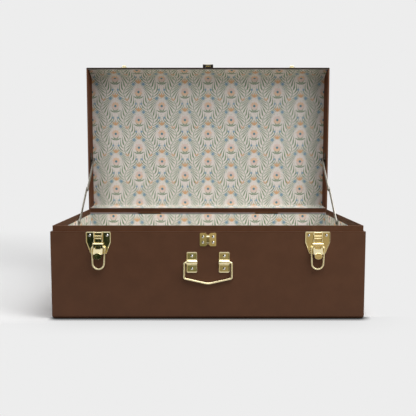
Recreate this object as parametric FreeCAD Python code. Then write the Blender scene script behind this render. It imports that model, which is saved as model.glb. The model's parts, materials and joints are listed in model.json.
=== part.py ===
import FreeCAD, Part
import math
import os

# Keepsake trunk with a low domed lid, drawn with the lid standing open.
# Millimetres, +X right, +Y to the back, +Z up, origin under the middle of the base.

# Body
trunk_width = 500.0
trunk_depth = 300.0
body_height = 140.5
panel = 3.4
base_thick = 4.0
bottom_round = 5.0
corner_round = 1.5
liner = 1.8
lip_rise = 9.5
lip_round = 0.5
lining = 0.6
lining_drop = 1.2

# Lid, heights above its rim
lid_gap = 0.5
lid_wall = 2.6
lid_end = 3.0
skirt_height = 16.0
skirt_round = 20.0
lean_inset = 8.0
shoulder_height = 42.5
shoulder_round = 14.0
crown_rise = 7.5
lid_edge_round = 1.2
crown_clear = 0.5
lining_edge = 0.8
lip_clear = 2.0
lid_lining_inset = 12.5
lid_lining_round = 9.0
lid_lining_foot_inset = 9.6
lid_lining_foot_round = 3.0
rail_thick = 7.6
rail_height = 10.0
rib_thick = 6.0
rib_spread_share = 0.164
rib_margin = 34.0

# Hinges
hinge_spread_share = 0.246
hinge_width = 47.5
hinge_leaf = 1.0
hinge_drop = 0.1
body_leaf_height = 20.0
lid_leaf_height = 13.0
knuckle_radius = 2.0
hinge_pin_radius = 1.0
knuckle_count = 5
screw_head_radius = 1.9
screw_radius = 1.0
screw_edge = 4.2
panel_screw = 2.8
rail_screw = 5.5

# Rivets
rivet_head_radius = 2.1
rivet_head_rise = 1.0
rivet_radius = 1.1
rivet_reach = 2.2

# Draw latches
latch_spread_share = 0.3466
latch_plate = 1.0
latch_width = 39.9
latch_foot_width = 25.8
latch_top_rise = 0.5
latch_straight = 17.5
latch_height = 35.5
latch_corner_round = 2.0
latch_rivet_spread = 13.7
latch_rivet_drop = 6.1
bridge_width = 14.4
bridge_base_rise = 2.0
bridge_rib_radius = 1.7
bridge_rib_drops = (1.8, 8.2, 11.6)
bridge_height = 14.6
ear_thick = 0.7
ear_radius = 2.5
lever_pin_drop = 20.4
lever_pin_out = 4.0
lever_pin_radius = 1.2
lever_width = 15.0
lever_barrel = 2.6
lever_back_out = 2.4
lever_face_out = 6.4
lever_low_out = 10.6
lever_plate_drop = 7.8
lever_plate_length = 17.6
lever_wall = 1.5
lever_cheek = 2.9
lever_pocket_out = 3.2
tab_drop = 21.0
tab_radius = 6.2
tab_out = 11.4
tab_thick = 2.0
tab_dish_radius = 4.8
tab_dish_depth = 0.8
loop_drop = 4.1
loop_out = 4.6
loop_wire_radius = 1.4
loop_width = 23.4
loop_foot_width = 20.0
loop_length = 36.5
loop_shoulder_round = 2.4
loop_seat_depth = 2.4

# Keepers on the lid
keeper_width = 13.8
keeper_plate = 1.0
keeper_low = 2.2
keeper_high = 15.0
keeper_hook_width = 7.0
keeper_hook_height = 7.0
keeper_hook_proud = 5.6
keeper_hook_lip = 4.6
keeper_rivet_spread = 4.4
keeper_rivet_height = 4.8
keeper_corner_round = 1.2

# Centre catch and hasp
catch_width = 25.9
catch_height = 21.2
catch_plate = 1.0
catch_top_gap = 1.8
catch_notch_width = 8.0
catch_notch_depth = 3.8
catch_corner_round = 1.5
catch_rivet_spread = 7.9
catch_rivet_rise = 4.4
staple_width = 4.6
staple_height = 13.5
staple_rise = 5.0
staple_round = 3.4
staple_hole_radius = 1.5
hasp_width = 21.3
hasp_foot_width = 17.0
hasp_plate = 1.0
hasp_plate_height = 13.2
hasp_axis_rise = 2.0
hasp_axis_out = 4.6
hasp_knuckle_radius = 2.5
hasp_pin_radius = 1.1
hasp_middle_width = 9.0
hasp_flap = 1.2
hasp_flap_length = 28.0
hasp_flap_stand = 2.4
hasp_foot_round = 5.0
hasp_rivet_spread = 7.0
hasp_rivet_height = 9.6

# Carrying handle
clip_spread = 25.7
clip_width = 17.5
clip_height = 33.7
clip_plate = 1.0
clip_round = 2.5
clip_rivet_rise = 10.1
clip_saddle_radius = 3.9
handle_height = 91.7
bail_out = 2.5
bail_radius = 1.6
bail_width = 79.0
bail_drop = 24.5
bail_sag = 11.0
bail_shoulder_round = 3.2
bail_corner_round = 5.5
bail_middle_round = 40.0
bail_end_inset = 5.0

# Folding stays
stay_width = 9.0
stay_thick = 1.3
stay_gap = 0.3
stay_pivot_radius = 2.0
stay_head_radius = 3.4
stay_head_thick = 0.9
stay_bracket = 0.8
stay_bracket_width = 13.0
stay_bracket_height = 22.0
stay_bracket_round = 3.0
stay_lid_bracket = 1.0
stay_lid_bracket_height = 28.0
stay_lid_boss_radius = 4.2
stay_lid_reach = 112.0
stay_lid_depth = 16.2
stay_body_reach = 122.5
stay_body_drop = 4.5
stay_screw_pitch = 8.0
stay_screw_radius = 1.3
stay_screw_head_radius = 2.2
stay_screw_head_rise = 0.7
stay_screw_reach = 3.6

# Fits
running_fit = 0.06
side_fit = 0.2
turn_clear = 0.25
hole_fit = 0.05
overrun = 1.0

V = FreeCAD.Vector
half_width = trunk_width / 2
half_depth = trunk_depth / 2
rib_spread = trunk_width * rib_spread_share
hinge_spread = trunk_width * hinge_spread_share
latch_spread = trunk_width * latch_spread_share
front = -half_depth
lip_top = body_height + lip_rise
rim = body_height + lid_gap
axis_y = half_depth + hinge_leaf / 2
axis_z = body_height - hinge_drop
lid_lining_depth = shoulder_height - lid_wall - lining - crown_clear
parts = {}


def block(x0, x1, y0, y1, z0, z1):
    return Part.makeBox(x1 - x0, y1 - y0, z1 - z0, V(x0, y0, z0))


def rod(start, along, radius):
    return Part.makeCylinder(radius, along.Length, start, along)


def rounded(points, radii, closed):
    """Edges of a path of straight runs whose corners have tangent arcs."""
    count = len(points)
    arrive = list(points)
    leave = list(points)
    arcs = {}
    for i, p in enumerate(points):
        if not radii[i] or (not closed and i in (0, count - 1)):
            continue
        a = (points[i - 1] - p).normalize()
        b = (points[(i + 1) % count] - p).normalize()
        half = a.getAngle(b) / 2
        run = radii[i] / math.tan(half)
        arrive[i] = p + a * run
        leave[i] = p + b * run
        middle = p + (a + b).normalize() * (radii[i] / math.sin(half) - radii[i])
        arcs[i] = Part.Arc(arrive[i], middle, leave[i]).toShape()
    edges = []
    for i in range(count):
        if i in arcs:
            edges.append(arcs[i])
        if i < count - 1 or closed:
            edges.append(Part.makeLine(leave[i], arrive[(i + 1) % count]))
    return edges


def outline(points, radii):
    return Part.Face(Part.Wire(rounded(points, radii, True)))


def along_x(points, radii, x0, x1):
    """A profile of (y, z) points drawn along X."""
    return outline([V(x0, y, z) for y, z in points], radii).extrude(V(x1 - x0, 0, 0))


def on_front(points, radii, thick):
    """A plate of (x, z) points that lies on the front plane, thick towards the viewer."""
    return outline([V(x, front, z) for x, z in points], radii).extrude(V(0, -thick, 0))


def wire(points, radii, radius):
    path = Part.Wire(rounded(points, radii, False))
    ring = Part.Wire(Part.makeCircle(radius, points[0], points[1] - points[0]))
    return path.makePipeShell([ring], True, False)


def fused(shapes):
    whole = shapes[0].fuse(shapes[1:])
    return whole.removeSplitter()


def opened(shape):
    """Swings a piece of the lid from shut to the open pose."""
    turned = shape.copy()
    turned.rotate(V(0, axis_y, axis_z), V(1, 0, 0), -90)
    return turned


def mirrored(shape):
    return shape.mirror(V(0, 0, 0), V(1, 0, 0))


def rivet(x, z, stand):
    """A domed rivet through a plate of thickness stand on the front plane."""
    sphere = (rivet_head_radius ** 2 + rivet_head_rise ** 2) / (2 * rivet_head_rise)
    dome = Part.makeSphere(sphere, V(x, front - stand - rivet_head_rise + sphere, z))
    keep = rod(V(x, front - stand, z), V(0, -rivet_head_rise, 0), rivet_head_radius)
    shank = rod(V(x, front - stand, z), V(0, stand + rivet_reach, 0), rivet_radius)
    return fused([dome.common(keep), shank])


def rivet_hole(x, z, stand):
    start = V(x, front - stand - overrun, z)
    return rod(start, V(0, overrun + stand + rivet_reach + hole_fit, 0), rivet_radius + hole_fit)


def body_blank():
    blank = block(-half_width, half_width, front, half_depth, 0, body_height)
    low = [e for e in blank.Edges if e.BoundBox.ZMax < base_thick]
    blank = blank.makeFillet(bottom_round, low)
    tall = [e for e in blank.Edges
            if e.BoundBox.ZLength > body_height - bottom_round * 2 and e.BoundBox.XLength < panel]
    return blank.makeFillet(corner_round, tall)


def lid_corners(inset, low):
    """Outer corners of the lid's section, moved in by inset, from front to back."""
    half = [
        (half_depth, low),
        (half_depth, skirt_height),
        (half_depth - lean_inset, shoulder_height),
        (0, shoulder_height + 2 * crown_rise),
    ]
    moved = [(half_depth - inset, low)]
    for i in (1, 2):
        moved.append(meet(half[i - 1], half[i], half[i + 1], inset))
    tilt = math.atan2(2 * crown_rise, half_depth - lean_inset)
    moved.append((0, half[3][1] - inset / math.cos(tilt)))
    back = [(y, rim + z) for y, z in moved]
    return [(-y, z) for y, z in back[:-1]] + [back[-1]] + back[-2::-1]


def meet(a, b, c, inset):
    """Where two runs that meet at b cross after both move in by inset."""
    first = math.atan2(b[1] - a[1], b[0] - a[0])
    second = math.atan2(c[1] - b[1], c[0] - b[0])
    turn = (second - first) / 2
    reach = inset / math.cos(turn)
    normal = (first + second) / 2 + math.pi / 2
    return b[0] + reach * math.cos(normal), b[1] + reach * math.sin(normal)


def lid_radii(inset):
    """Corner radii for lid_corners; the crown's arc runs from shoulder to shoulder."""
    tilt = math.atan2(2 * crown_rise, half_depth - lean_inset)
    lean = math.atan2(lean_inset, shoulder_height - skirt_height)
    turn = math.pi / 2 - lean - tilt
    slope = math.hypot(half_depth - lean_inset, 2 * crown_rise)
    crown = (slope - shoulder_round * math.tan(turn / 2)) / math.tan(tilt)
    crown = crown - overrun
    side = [0, skirt_round - inset, shoulder_round - inset]
    return side + [crown - inset] + side[::-1]


def lid_solid(inset, low, x0, x1):
    return along_x(lid_corners(inset, low), lid_radii(inset), x0, x1)


def lid_lining_face(inset, low, x0, x1):
    """The block under the lid's lining: its path moved in by inset."""
    top = rim + lid_lining_depth + lining - inset
    near = front + lid_wall
    far = half_depth - lid_wall
    free = rim + lip_rise + lip_clear
    points = [
        (near + inset, rim + low),
        (near + inset, free),
        (near + lid_lining_inset + inset, top),
        (far - lid_lining_foot_inset - inset, top),
        (far - rail_thick - inset, rim + rail_height + lining),
        (far - rail_thick - inset, rim + low),
    ]
    bend = lid_lining_round + lining - inset
    foot = lid_lining_foot_round + lining - inset
    return along_x(points, [0, 0, bend, foot, 0, 0], x0, x1)


def hinge_relief(x):
    reach = hinge_width / 2 + turn_clear
    return rod(V(x - reach, axis_y, axis_z), V(2 * reach, 0, 0), knuckle_radius + turn_clear)


def hinge_screw_places(x, leaf_height, way):
    inner = axis_z + way * (knuckle_radius + turn_clear + screw_edge / 2 + turn_clear)
    outer = axis_z + way * (leaf_height - screw_edge / 2 - turn_clear)
    side = hinge_width / 2 - screw_edge
    level = (inner + outer) / 2
    return [(x - side, level), (x, level), (x + side, level)]


def hinge_screw(x, z, reach, grow):
    """A flush screw from the back face inwards; grow makes its hole."""
    face = half_depth + hinge_leaf
    head = Part.makeCone(screw_head_radius + grow, screw_radius + grow, hinge_leaf,
                         V(x, face, z), V(0, -1, 0))
    shank = rod(V(x, half_depth, z), V(0, -reach - grow, 0), screw_radius + grow)
    return fused([head, shank])


def make_body():
    blank = body_blank()
    inner_x = half_width - panel
    inner_y = half_depth - panel
    floor = base_thick
    base = blank.common(block(-half_width, half_width, front, half_depth, 0, floor))
    face = blank.common(block(-half_width, half_width, front, -inner_y, floor, body_height))
    rear = blank.common(block(-half_width, half_width, inner_y, half_depth, floor, body_height))
    side = blank.common(block(-half_width, -inner_x, -inner_y, inner_y, floor, body_height))
    for x, z, stand in front_rivets():
        face = face.cut(rivet_hole(x, z, stand))
    for x in (-hinge_spread, hinge_spread):
        rear = rear.cut(hinge_relief(x))
        for sx, sz in hinge_screw_places(x, body_leaf_height, -1):
            rear = rear.cut(hinge_screw(sx, sz, panel_screw, hole_fit))
    for y, z in stay_screw_places():
        side = side.cut(stay_screw_hole(y, z))
    parts["base_panel"] = base
    parts["front_panel"] = face
    parts["back_panel"] = rear
    parts["left_panel"] = side
    parts["right_panel"] = mirrored(side)


def lip_board(x0, x1, y0, y1, top):
    board = block(x0, x1, y0, y1, base_thick, top)
    crest = [e for e in board.Edges if e.BoundBox.ZMin > top - lip_round
             and max(e.BoundBox.XLength, e.BoundBox.YLength) > liner * 2]
    return board.makeFillet(lip_round, crest)


def end_lip_board(x0, x1, reach):
    """An end's board: its lip stops short of the lid's hinge rail, with a round corner."""
    stop = half_depth - lid_wall - rail_thick - lining - lip_clear
    board = along_x([
        (-reach, base_thick),
        (reach, base_thick),
        (reach, body_height),
        (stop, body_height),
        (stop, lip_top),
        (-reach, lip_top),
    ], [0, 0, 0, 0, lip_rise / 2, 0], x0, x1)
    crest = [e for e in board.Edges if e.BoundBox.ZMin > lip_top - lip_round
             and e.BoundBox.YLength > lip_rise]
    return board.makeFillet(lip_round, crest)


def make_liners():
    outer_x = half_width - panel
    outer_y = half_depth - panel
    inner_x = outer_x - liner
    inner_y = outer_y - liner
    side = end_lip_board(-outer_x, -inner_x, inner_y)
    for y, z in stay_screw_places():
        side = side.cut(stay_screw_hole(y, z))
    parts["liner_front"] = lip_board(-outer_x, outer_x, -outer_y, -inner_y, lip_top)
    parts["liner_back"] = lip_board(-outer_x, outer_x, inner_y, outer_y, body_height)
    parts["liner_left"] = side
    parts["liner_right"] = mirrored(side)


def make_linings():
    inner_x = half_width - panel - liner
    inner_y = half_depth - panel - liner
    floor = base_thick + lining
    top = body_height - lining_drop
    side = block(-inner_x, -inner_x + lining, -inner_y + lining, inner_y - lining, floor, top)
    for y, z in stay_screw_places():
        side = side.cut(stay_screw_hole(y, z))
    parts["lining_base"] = block(-inner_x, inner_x, -inner_y, inner_y, base_thick, floor)
    parts["lining_front"] = block(-inner_x, inner_x, -inner_y, -inner_y + lining, floor, top)
    parts["lining_back"] = block(-inner_x, inner_x, inner_y - lining, inner_y, floor, top)
    parts["lining_left"] = side
    parts["lining_right"] = mirrored(side)


def front_rivets():
    """Every rivet of the body's front: x, z and the plate it goes through."""
    places = []
    latch_z = body_height + latch_top_rise - latch_rivet_drop
    for side in (-1, 1):
        for way in (-1, 1):
            x = side * latch_spread + way * latch_rivet_spread
            places.append((x, latch_z, latch_plate))
            x = side * clip_spread
            places.append((x, handle_height + way * clip_rivet_rise, clip_plate))
            x = side * catch_rivet_spread
            places.append((x, catch_middle() + way * catch_rivet_rise, catch_plate))
    return places


def make_latch(name, x):
    top = body_height + latch_top_rise
    wide = latch_width / 2
    foot = latch_foot_width / 2
    plate = on_front([
        (x - wide, top),
        (x + wide, top),
        (x + wide, top - latch_straight),
        (x + foot, top - latch_height),
        (x - foot, top - latch_height),
        (x - wide, top - latch_straight),
    ], [latch_corner_round] * 6, latch_plate)
    plate = fused([plate, latch_bridge(x, top)] + latch_ears(x, top))
    pin_z = top - lever_pin_drop
    pin_y = front - lever_pin_out
    ear_out = lever_width / 2 + side_fit + ear_thick
    reach = ear_out
    bore = rod(V(x - reach - overrun, pin_y, pin_z), V(2 * (reach + overrun), 0, 0),
               lever_pin_radius + hole_fit)
    plate = plate.cut(bore)
    for way in (-1, 1):
        plate = plate.cut(rivet_hole(x + way * latch_rivet_spread, top - latch_rivet_drop, latch_plate))
    parts["latch_plate_" + name] = plate
    parts["latch_lever_" + name] = latch_lever(x, pin_y, pin_z)
    parts["latch_loop_" + name] = latch_loop(x, pin_z - loop_drop)
    return rod(V(x - reach, pin_y, pin_z), V(2 * reach, 0, 0), lever_pin_radius)


def latch_bridge(x, top):
    """The pressed bridge above the lever: a low step crossed by rounded ribs."""
    half = bridge_width / 2
    step = block(x - half, x + half, front - latch_plate - bridge_base_rise, front,
                 top - bridge_height, top)
    ribs = []
    for drop in bridge_rib_drops:
        centre = V(x - half, front - latch_plate - bridge_base_rise, top - drop)
        ribs.append(rod(centre, V(bridge_width, 0, 0), bridge_rib_radius))
    return fused([step] + ribs)


def latch_ears(x, top):
    pin_z = top - lever_pin_drop
    inner = lever_width / 2 + side_fit
    ears = []
    for x0 in (x - inner - ear_thick, x + inner):
        foot = block(x0, x0 + ear_thick, front - lever_pin_out, front, pin_z - ear_radius, pin_z + ear_radius)
        eye = rod(V(x0, front - lever_pin_out, pin_z), V(ear_thick, 0, 0), ear_radius)
        ears.append(foot.fuse(eye))
    return ears


def latch_lever(x, pin_y, pin_z):
    """Barrel, leaning plate that is hollow behind, and a dished round tab for the finger."""
    half = lever_width / 2
    back = front - lever_back_out
    face = front - lever_face_out
    foot = front - lever_low_out
    high = pin_z - lever_plate_drop
    low = pin_z - lever_plate_length
    blade = along_x([
        (pin_y + lever_barrel, pin_z),
        (back, low),
        (foot, low),
        (face, high),
        (pin_y - lever_barrel, pin_z),
    ], [0] * 5, x - half, x + half)
    barrel = rod(V(x - half, pin_y, pin_z), V(lever_width, 0, 0), lever_barrel)
    tab_z = pin_z - tab_drop
    tab = rod(V(x, front - tab_out, tab_z), V(0, tab_thick, 0), tab_radius)
    lever = fused([blade, barrel, tab])
    pocket = block(x - half + lever_cheek, x + half - lever_cheek, front - lever_low_out - overrun,
                   front - lever_pocket_out, high, pin_z - lever_barrel)
    hollow = along_x([
        (front, high - lever_wall),
        (front, low - overrun),
        (foot + lever_wall, low - overrun),
        (foot + lever_wall, low),
        (face + lever_wall, high - lever_wall),
    ], [0] * 5, x - half + lever_wall, x + half - lever_wall)
    ball = (tab_dish_radius ** 2 + tab_dish_depth ** 2) / (2 * tab_dish_depth)
    dish = Part.makeSphere(ball, V(x, front - tab_out + tab_dish_depth - ball, tab_z))
    bore = rod(V(x - half - overrun, pin_y, pin_z), V(lever_width + 2 * overrun, 0, 0),
               lever_pin_radius + running_fit)
    lever = lever.cut(pocket).cut(hollow).cut(dish).cut(bore)
    for way in (-1, 1):
        seat = rod(V(x + way * (half + overrun), front - loop_out, pin_z - loop_drop),
                   V(-way * (overrun + loop_seat_depth + side_fit), 0, 0), loop_wire_radius + running_fit)
        lever = lever.cut(seat)
    return lever


def latch_loop(x, z):
    """The wire loop: two ends turned into the lever, shoulders, legs that close in, a round foot."""
    y = front - loop_out
    inner = lever_width / 2 - loop_seat_depth
    wide = loop_width / 2 - loop_wire_radius
    foot = loop_foot_width / 2 - loop_wire_radius
    low = z - loop_length + loop_wire_radius
    lean = math.atan2(wide - foot, z - low)
    bend = (foot - hole_fit) * math.tan((math.pi / 2 + lean) / 2)
    points = [
        V(x - inner, y, z),
        V(x - wide, y, z),
        V(x - foot, y, low),
        V(x + foot, y, low),
        V(x + wide, y, z),
        V(x + inner, y, z),
    ]
    radii = [0, loop_shoulder_round, bend, bend, loop_shoulder_round, 0]
    return wire(points, radii, loop_wire_radius)


def catch_middle():
    return body_height - catch_top_gap - catch_height / 2


def make_catch():
    """A butterfly plate with a raised staple, pierced for a padlock."""
    wide = catch_width / 2
    tall = catch_height / 2
    waist = catch_notch_width / 2
    dip = tall - catch_notch_depth
    z = catch_middle()
    ring = [(-wide, tall), (-waist, tall), (0, dip), (waist, tall), (wide, tall)]
    corners = [(px, z + pz) for px, pz in ring] + [(-px, z - pz) for px, pz in ring]
    soft = [catch_corner_round, catch_corner_round / 2, catch_corner_round, catch_corner_round / 2,
            catch_corner_round]
    plate = on_front(corners, soft * 2, catch_plate)
    half = staple_width / 2
    high = staple_height / 2
    face = front - staple_rise
    staple = along_x([
        (front, z - high),
        (face, z - high),
        (face, z + high),
        (front, z + high),
    ], [0, staple_round, staple_round, 0], -half, half)
    plate = fused([plate, staple])
    eye = rod(V(-half - overrun, front - (catch_plate + staple_rise) / 2, z),
              V(staple_width + 2 * overrun, 0, 0), staple_hole_radius)
    plate = plate.cut(eye)
    for side in (-1, 1):
        for way in (-1, 1):
            plate = plate.cut(rivet_hole(side * catch_rivet_spread, z + way * catch_rivet_rise, catch_plate))
    parts["catch_plate"] = plate


def make_handle():
    """Two riveted clips with a half-round saddle, and a bail of bent wire."""
    y = front - bail_out
    for name, side in (("left", -1), ("right", 1)):
        x = side * clip_spread
        wide = clip_width / 2
        tall = clip_height / 2
        plate = on_front([
            (x - wide, handle_height + tall),
            (x + wide, handle_height + tall),
            (x + wide, handle_height - tall),
            (x - wide, handle_height - tall),
        ], [clip_round] * 4, clip_plate)
        saddle = rod(V(x - wide, front - clip_plate, handle_height), V(clip_width, 0, 0), clip_saddle_radius)
        keep = block(x - wide, x + wide, front - clip_plate - clip_saddle_radius, front,
                     handle_height - clip_saddle_radius, handle_height + clip_saddle_radius)
        clip = fused([plate, saddle.common(keep)])
        clip = clip.cut(rod(V(x - wide - overrun, y, handle_height), V(clip_width + 2 * overrun, 0, 0),
                            bail_radius + running_fit))
        for way in (-1, 1):
            clip = clip.cut(rivet_hole(x, handle_height + way * clip_rivet_rise, clip_plate))
        parts["handle_clip_" + name] = clip
    wide = bail_width / 2 - bail_radius
    inner = clip_spread - clip_width / 2 + bail_end_inset
    low = handle_height - bail_drop
    points = [
        V(-inner, y, handle_height),
        V(-wide, y, handle_height),
        V(-wide, y, low),
        V(0, y, low - bail_sag),
        V(wide, y, low),
        V(wide, y, handle_height),
        V(inner, y, handle_height),
    ]
    radii = [0, bail_shoulder_round, bail_corner_round, bail_middle_round, bail_corner_round,
             bail_shoulder_round, 0]
    parts["handle_bail"] = wire(points, radii, bail_radius)


def hinge_leaf_solid(x, leaf_height, way, first):
    """A leaf on the back face with every second knuckle; way is -1 on the body and 1 on the lid."""
    near = axis_z + way * (knuckle_radius + turn_clear)
    far = axis_z + way * leaf_height
    low, high = sorted((near, far))
    pitch = hinge_width / knuckle_count
    leaf = block(x - hinge_width / 2, x + hinge_width / 2, half_depth, half_depth + hinge_leaf, low, high)
    pieces = [leaf]
    for i in range(first, knuckle_count, 2):
        x0 = x - hinge_width / 2 + i * pitch + side_fit / 2
        low, high = sorted((axis_z, near))
        pieces.append(block(x0, x0 + pitch - side_fit, half_depth, half_depth + hinge_leaf, low, high))
        pieces.append(rod(V(x0, axis_y, axis_z), V(pitch - side_fit, 0, 0), knuckle_radius))
    leaf = fused(pieces)
    reach = hinge_width / 2 + overrun
    return leaf.cut(rod(V(x - reach, axis_y, axis_z), V(2 * reach, 0, 0), hinge_pin_radius + running_fit))


def make_hinges():
    body_screws = []
    lid_screws = []
    pins = []
    for name, x in (("left", -hinge_spread), ("right", hinge_spread)):
        body_leaf = hinge_leaf_solid(x, body_leaf_height, -1, 0)
        lid_leaf = hinge_leaf_solid(x, lid_leaf_height, 1, 1)
        for sx, sz in hinge_screw_places(x, body_leaf_height, -1):
            body_leaf = body_leaf.cut(hinge_screw(sx, sz, panel_screw, hole_fit))
            body_screws.append(hinge_screw(sx, sz, panel_screw, 0))
        for sx, sz in hinge_screw_places(x, lid_leaf_height, 1):
            lid_leaf = lid_leaf.cut(hinge_screw(sx, sz, rail_screw, hole_fit))
            lid_screws.append(opened(hinge_screw(sx, sz, rail_screw, 0)))
        parts["hinge_body_leaf_" + name] = body_leaf
        parts["hinge_lid_leaf_" + name] = opened(lid_leaf)
        pins.append(rod(V(x - hinge_width / 2, axis_y, axis_z), V(hinge_width, 0, 0), hinge_pin_radius))
    parts["hinge_pins"] = Part.makeCompound(pins)
    parts["hinge_body_screws"] = Part.makeCompound(body_screws)
    parts["hinge_lid_screws"] = Part.makeCompound(lid_screws)


def lid_rivets():
    """Rivets of the keepers and the hasp: x, z with the lid shut, plate."""
    places = []
    for side in (-1, 1):
        for way in (-1, 1):
            x = side * latch_spread + way * keeper_rivet_spread
            places.append((x, rim + keeper_rivet_height, keeper_plate))
        places.append((side * hasp_rivet_spread, rim + hasp_rivet_height, hasp_plate))
    return places


def lid_rivet(x, z, stand, grow):
    """As rivet, but its shank stops inside the lid's wall."""
    sphere = (rivet_head_radius ** 2 + rivet_head_rise ** 2) / (2 * rivet_head_rise)
    dome = Part.makeSphere(sphere, V(x, front - stand - rivet_head_rise + sphere, z))
    keep = rod(V(x, front - stand, z), V(0, -rivet_head_rise, 0), rivet_head_radius)
    shank = rod(V(x, front - stand - grow, z), V(0, stand + lid_wall - hole_fit + grow * 2, 0),
                rivet_radius + grow)
    if grow:
        return shank
    return fused([dome.common(keep), shank])


def make_lid():
    end_x = half_width - lid_end
    shell = lid_solid(0, 0, -end_x, end_x).cut(lid_solid(lid_wall, -overrun, -half_width, half_width))
    rail_y = half_depth - lid_wall
    rail = block(-end_x, end_x, rail_y - rail_thick, rail_y, rim, rim + rail_height)
    for x in (-hinge_spread, hinge_spread):
        shell = shell.cut(hinge_relief(x))
        for sx, sz in hinge_screw_places(x, lid_leaf_height, 1):
            hole = hinge_screw(sx, sz, rail_screw, hole_fit)
            shell = shell.cut(hole)
            rail = rail.cut(hole)
    for x, z, stand in lid_rivets():
        shell = shell.cut(lid_rivet(x, z, stand, hole_fit))
    end = lid_solid(0, 0, -half_width, -end_x)
    rim_edges = [e for e in end.Edges if e.BoundBox.XMax < -half_width + lid_end / 2
                 and e.BoundBox.ZMax > rim + lid_edge_round]
    end = end.makeFillet(lid_edge_round, rim_edges)
    lined = lid_lining_face(0, lining_edge, -end_x, end_x)
    lined = lined.cut(lid_lining_face(lining, -overrun, -half_width, half_width))
    parts["lid_shell"] = opened(shell)
    parts["lid_hinge_rail"] = opened(rail)
    parts["lid_end_left"] = opened(end)
    parts["lid_end_right"] = opened(mirrored(end))
    parts["lid_lining"] = opened(lined)
    reach = half_depth - rib_margin
    bed = rim + lid_lining_depth + lining
    roof = lid_solid(lid_wall + turn_clear, 0, -half_width, half_width)
    for name, x in (("left", -rib_spread), ("right", rib_spread)):
        slab = block(x - rib_thick / 2, x + rib_thick / 2, -reach, reach, bed, bed + shoulder_height)
        parts["lid_rib_" + name] = opened(slab.common(roof))


def make_keepers():
    """A riveted plate with a tongue bent out and up, which holds the latch loop."""
    for name, x in (("left", -latch_spread), ("right", latch_spread)):
        half = keeper_width / 2
        plate = on_front([
            (x - half, rim + keeper_low),
            (x + half, rim + keeper_low),
            (x + half, rim + keeper_high),
            (x - half, rim + keeper_high),
        ], [keeper_corner_round] * 4, keeper_plate)
        low = rim + keeper_hook_height
        tip = front - keeper_hook_proud
        hook = along_x([
            (front, low),
            (tip, low),
            (tip, low + keeper_hook_lip),
            (tip + keeper_plate, low + keeper_hook_lip),
            (tip + keeper_plate, low + keeper_plate),
            (front, low + keeper_plate),
        ], [0, keeper_plate, 0, 0, keeper_plate / 4, 0], x - keeper_hook_width / 2, x + keeper_hook_width / 2)
        keeper = fused([plate, hook])
        for way in (-1, 1):
            px = x + way * keeper_rivet_spread
            keeper = keeper.cut(lid_rivet(px, rim + keeper_rivet_height, keeper_plate, hole_fit))
        parts["keeper_" + name] = opened(keeper)


def make_hasp():
    """A plate on the lid, a flap hinged to it and folded back, and their pin."""
    z = rim + hasp_axis_rise
    y = front - hasp_axis_out
    half = hasp_width / 2
    middle = hasp_middle_width / 2
    plate = on_front([
        (-half, rim + hasp_axis_rise - hasp_plate),
        (half, rim + hasp_axis_rise - hasp_plate),
        (half, rim + hasp_axis_rise + hasp_plate_height),
        (-half, rim + hasp_axis_rise + hasp_plate_height),
    ], [0, 0, hasp_foot_round / 2, hasp_foot_round / 2], hasp_plate)
    gap = middle + side_fit
    window = block(-gap, gap, y, front, z - hasp_knuckle_radius, z + hasp_knuckle_radius + turn_clear)
    pieces = [plate]
    for x0, x1 in ((-half, -gap), (gap, half)):
        pieces.append(block(x0, x1, y, front, z - hasp_plate, z + hasp_plate))
        pieces.append(rod(V(x0, y, z), V(x1 - x0, 0, 0), hasp_knuckle_radius))
    bore = rod(V(-half - overrun, y, z), V(hasp_width + 2 * overrun, 0, 0), hasp_pin_radius + hole_fit)
    plate = fused(pieces).cut(window).cut(bore)
    for side in (-1, 1):
        plate = plate.cut(lid_rivet(side * hasp_rivet_spread, rim + hasp_rivet_height, hasp_plate, hole_fit))
    parts["hasp_plate"] = opened(plate)
    parts["hasp_pin"] = opened(rod(V(-half, y, z), V(hasp_width, 0, 0), hasp_pin_radius))
    parts["hasp_flap"] = opened(hasp_flap_solid(y, z))


def hasp_flap_solid(y, z):
    """The flap drawn shut, over the staple, then folded half a turn back."""
    half = hasp_width / 2
    foot = hasp_foot_width / 2
    low = z - hasp_flap_length
    clear = hasp_knuckle_radius + turn_clear
    sheet = on_front([
        (-half, z - clear),
        (half, z - clear),
        (foot, low),
        (-foot, low),
    ], [0, 0, hasp_foot_round, hasp_foot_round], hasp_flap)
    sheet.translate(V(0, -hasp_flap_stand, 0))
    middle = hasp_middle_width / 2
    stand = front - hasp_flap_stand
    neck = block(-middle, middle, stand - hasp_flap, stand, z - clear - overrun, z)
    barrel = rod(V(-middle, y, z), V(hasp_middle_width, 0, 0), hasp_knuckle_radius)
    flap = fused([sheet, neck, barrel])
    slot_x = staple_width / 2 + 2 * turn_clear
    slot_z = staple_height / 2 + 2 * turn_clear
    slot = block(-slot_x, slot_x, stand - hasp_flap - overrun, stand + overrun,
                 catch_middle() - slot_z, catch_middle() + slot_z)
    bore = rod(V(-middle - overrun, y, z), V(hasp_middle_width + 2 * overrun, 0, 0),
               hasp_pin_radius + running_fit)
    flap = flap.cut(slot).cut(bore)
    flap.rotate(V(0, y, z), V(1, 0, 0), -180)
    return flap


def stay_pivots():
    """Lid pivot, body pivot and knee with the lid open, as (y, z)."""
    lid_y = axis_y + stay_lid_depth
    lid_z = axis_z + stay_lid_reach
    body_y = axis_y - stay_body_reach
    body_z = body_height - stay_body_drop
    knee = (lid_y + body_y) / 2, (lid_z + body_z) / 2
    return (lid_y, lid_z), (body_y, body_z), knee


def stay_screw_places():
    lid, body, knee = stay_pivots()
    low = body[1] - stay_bracket_height + stay_bracket_width / 2
    return [(body[0], low + stay_screw_head_radius), (body[0], low + stay_screw_head_radius - stay_screw_pitch)]


def stay_wall():
    """Inner face of the left end's lining."""
    return -half_width + panel + liner + lining


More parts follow.
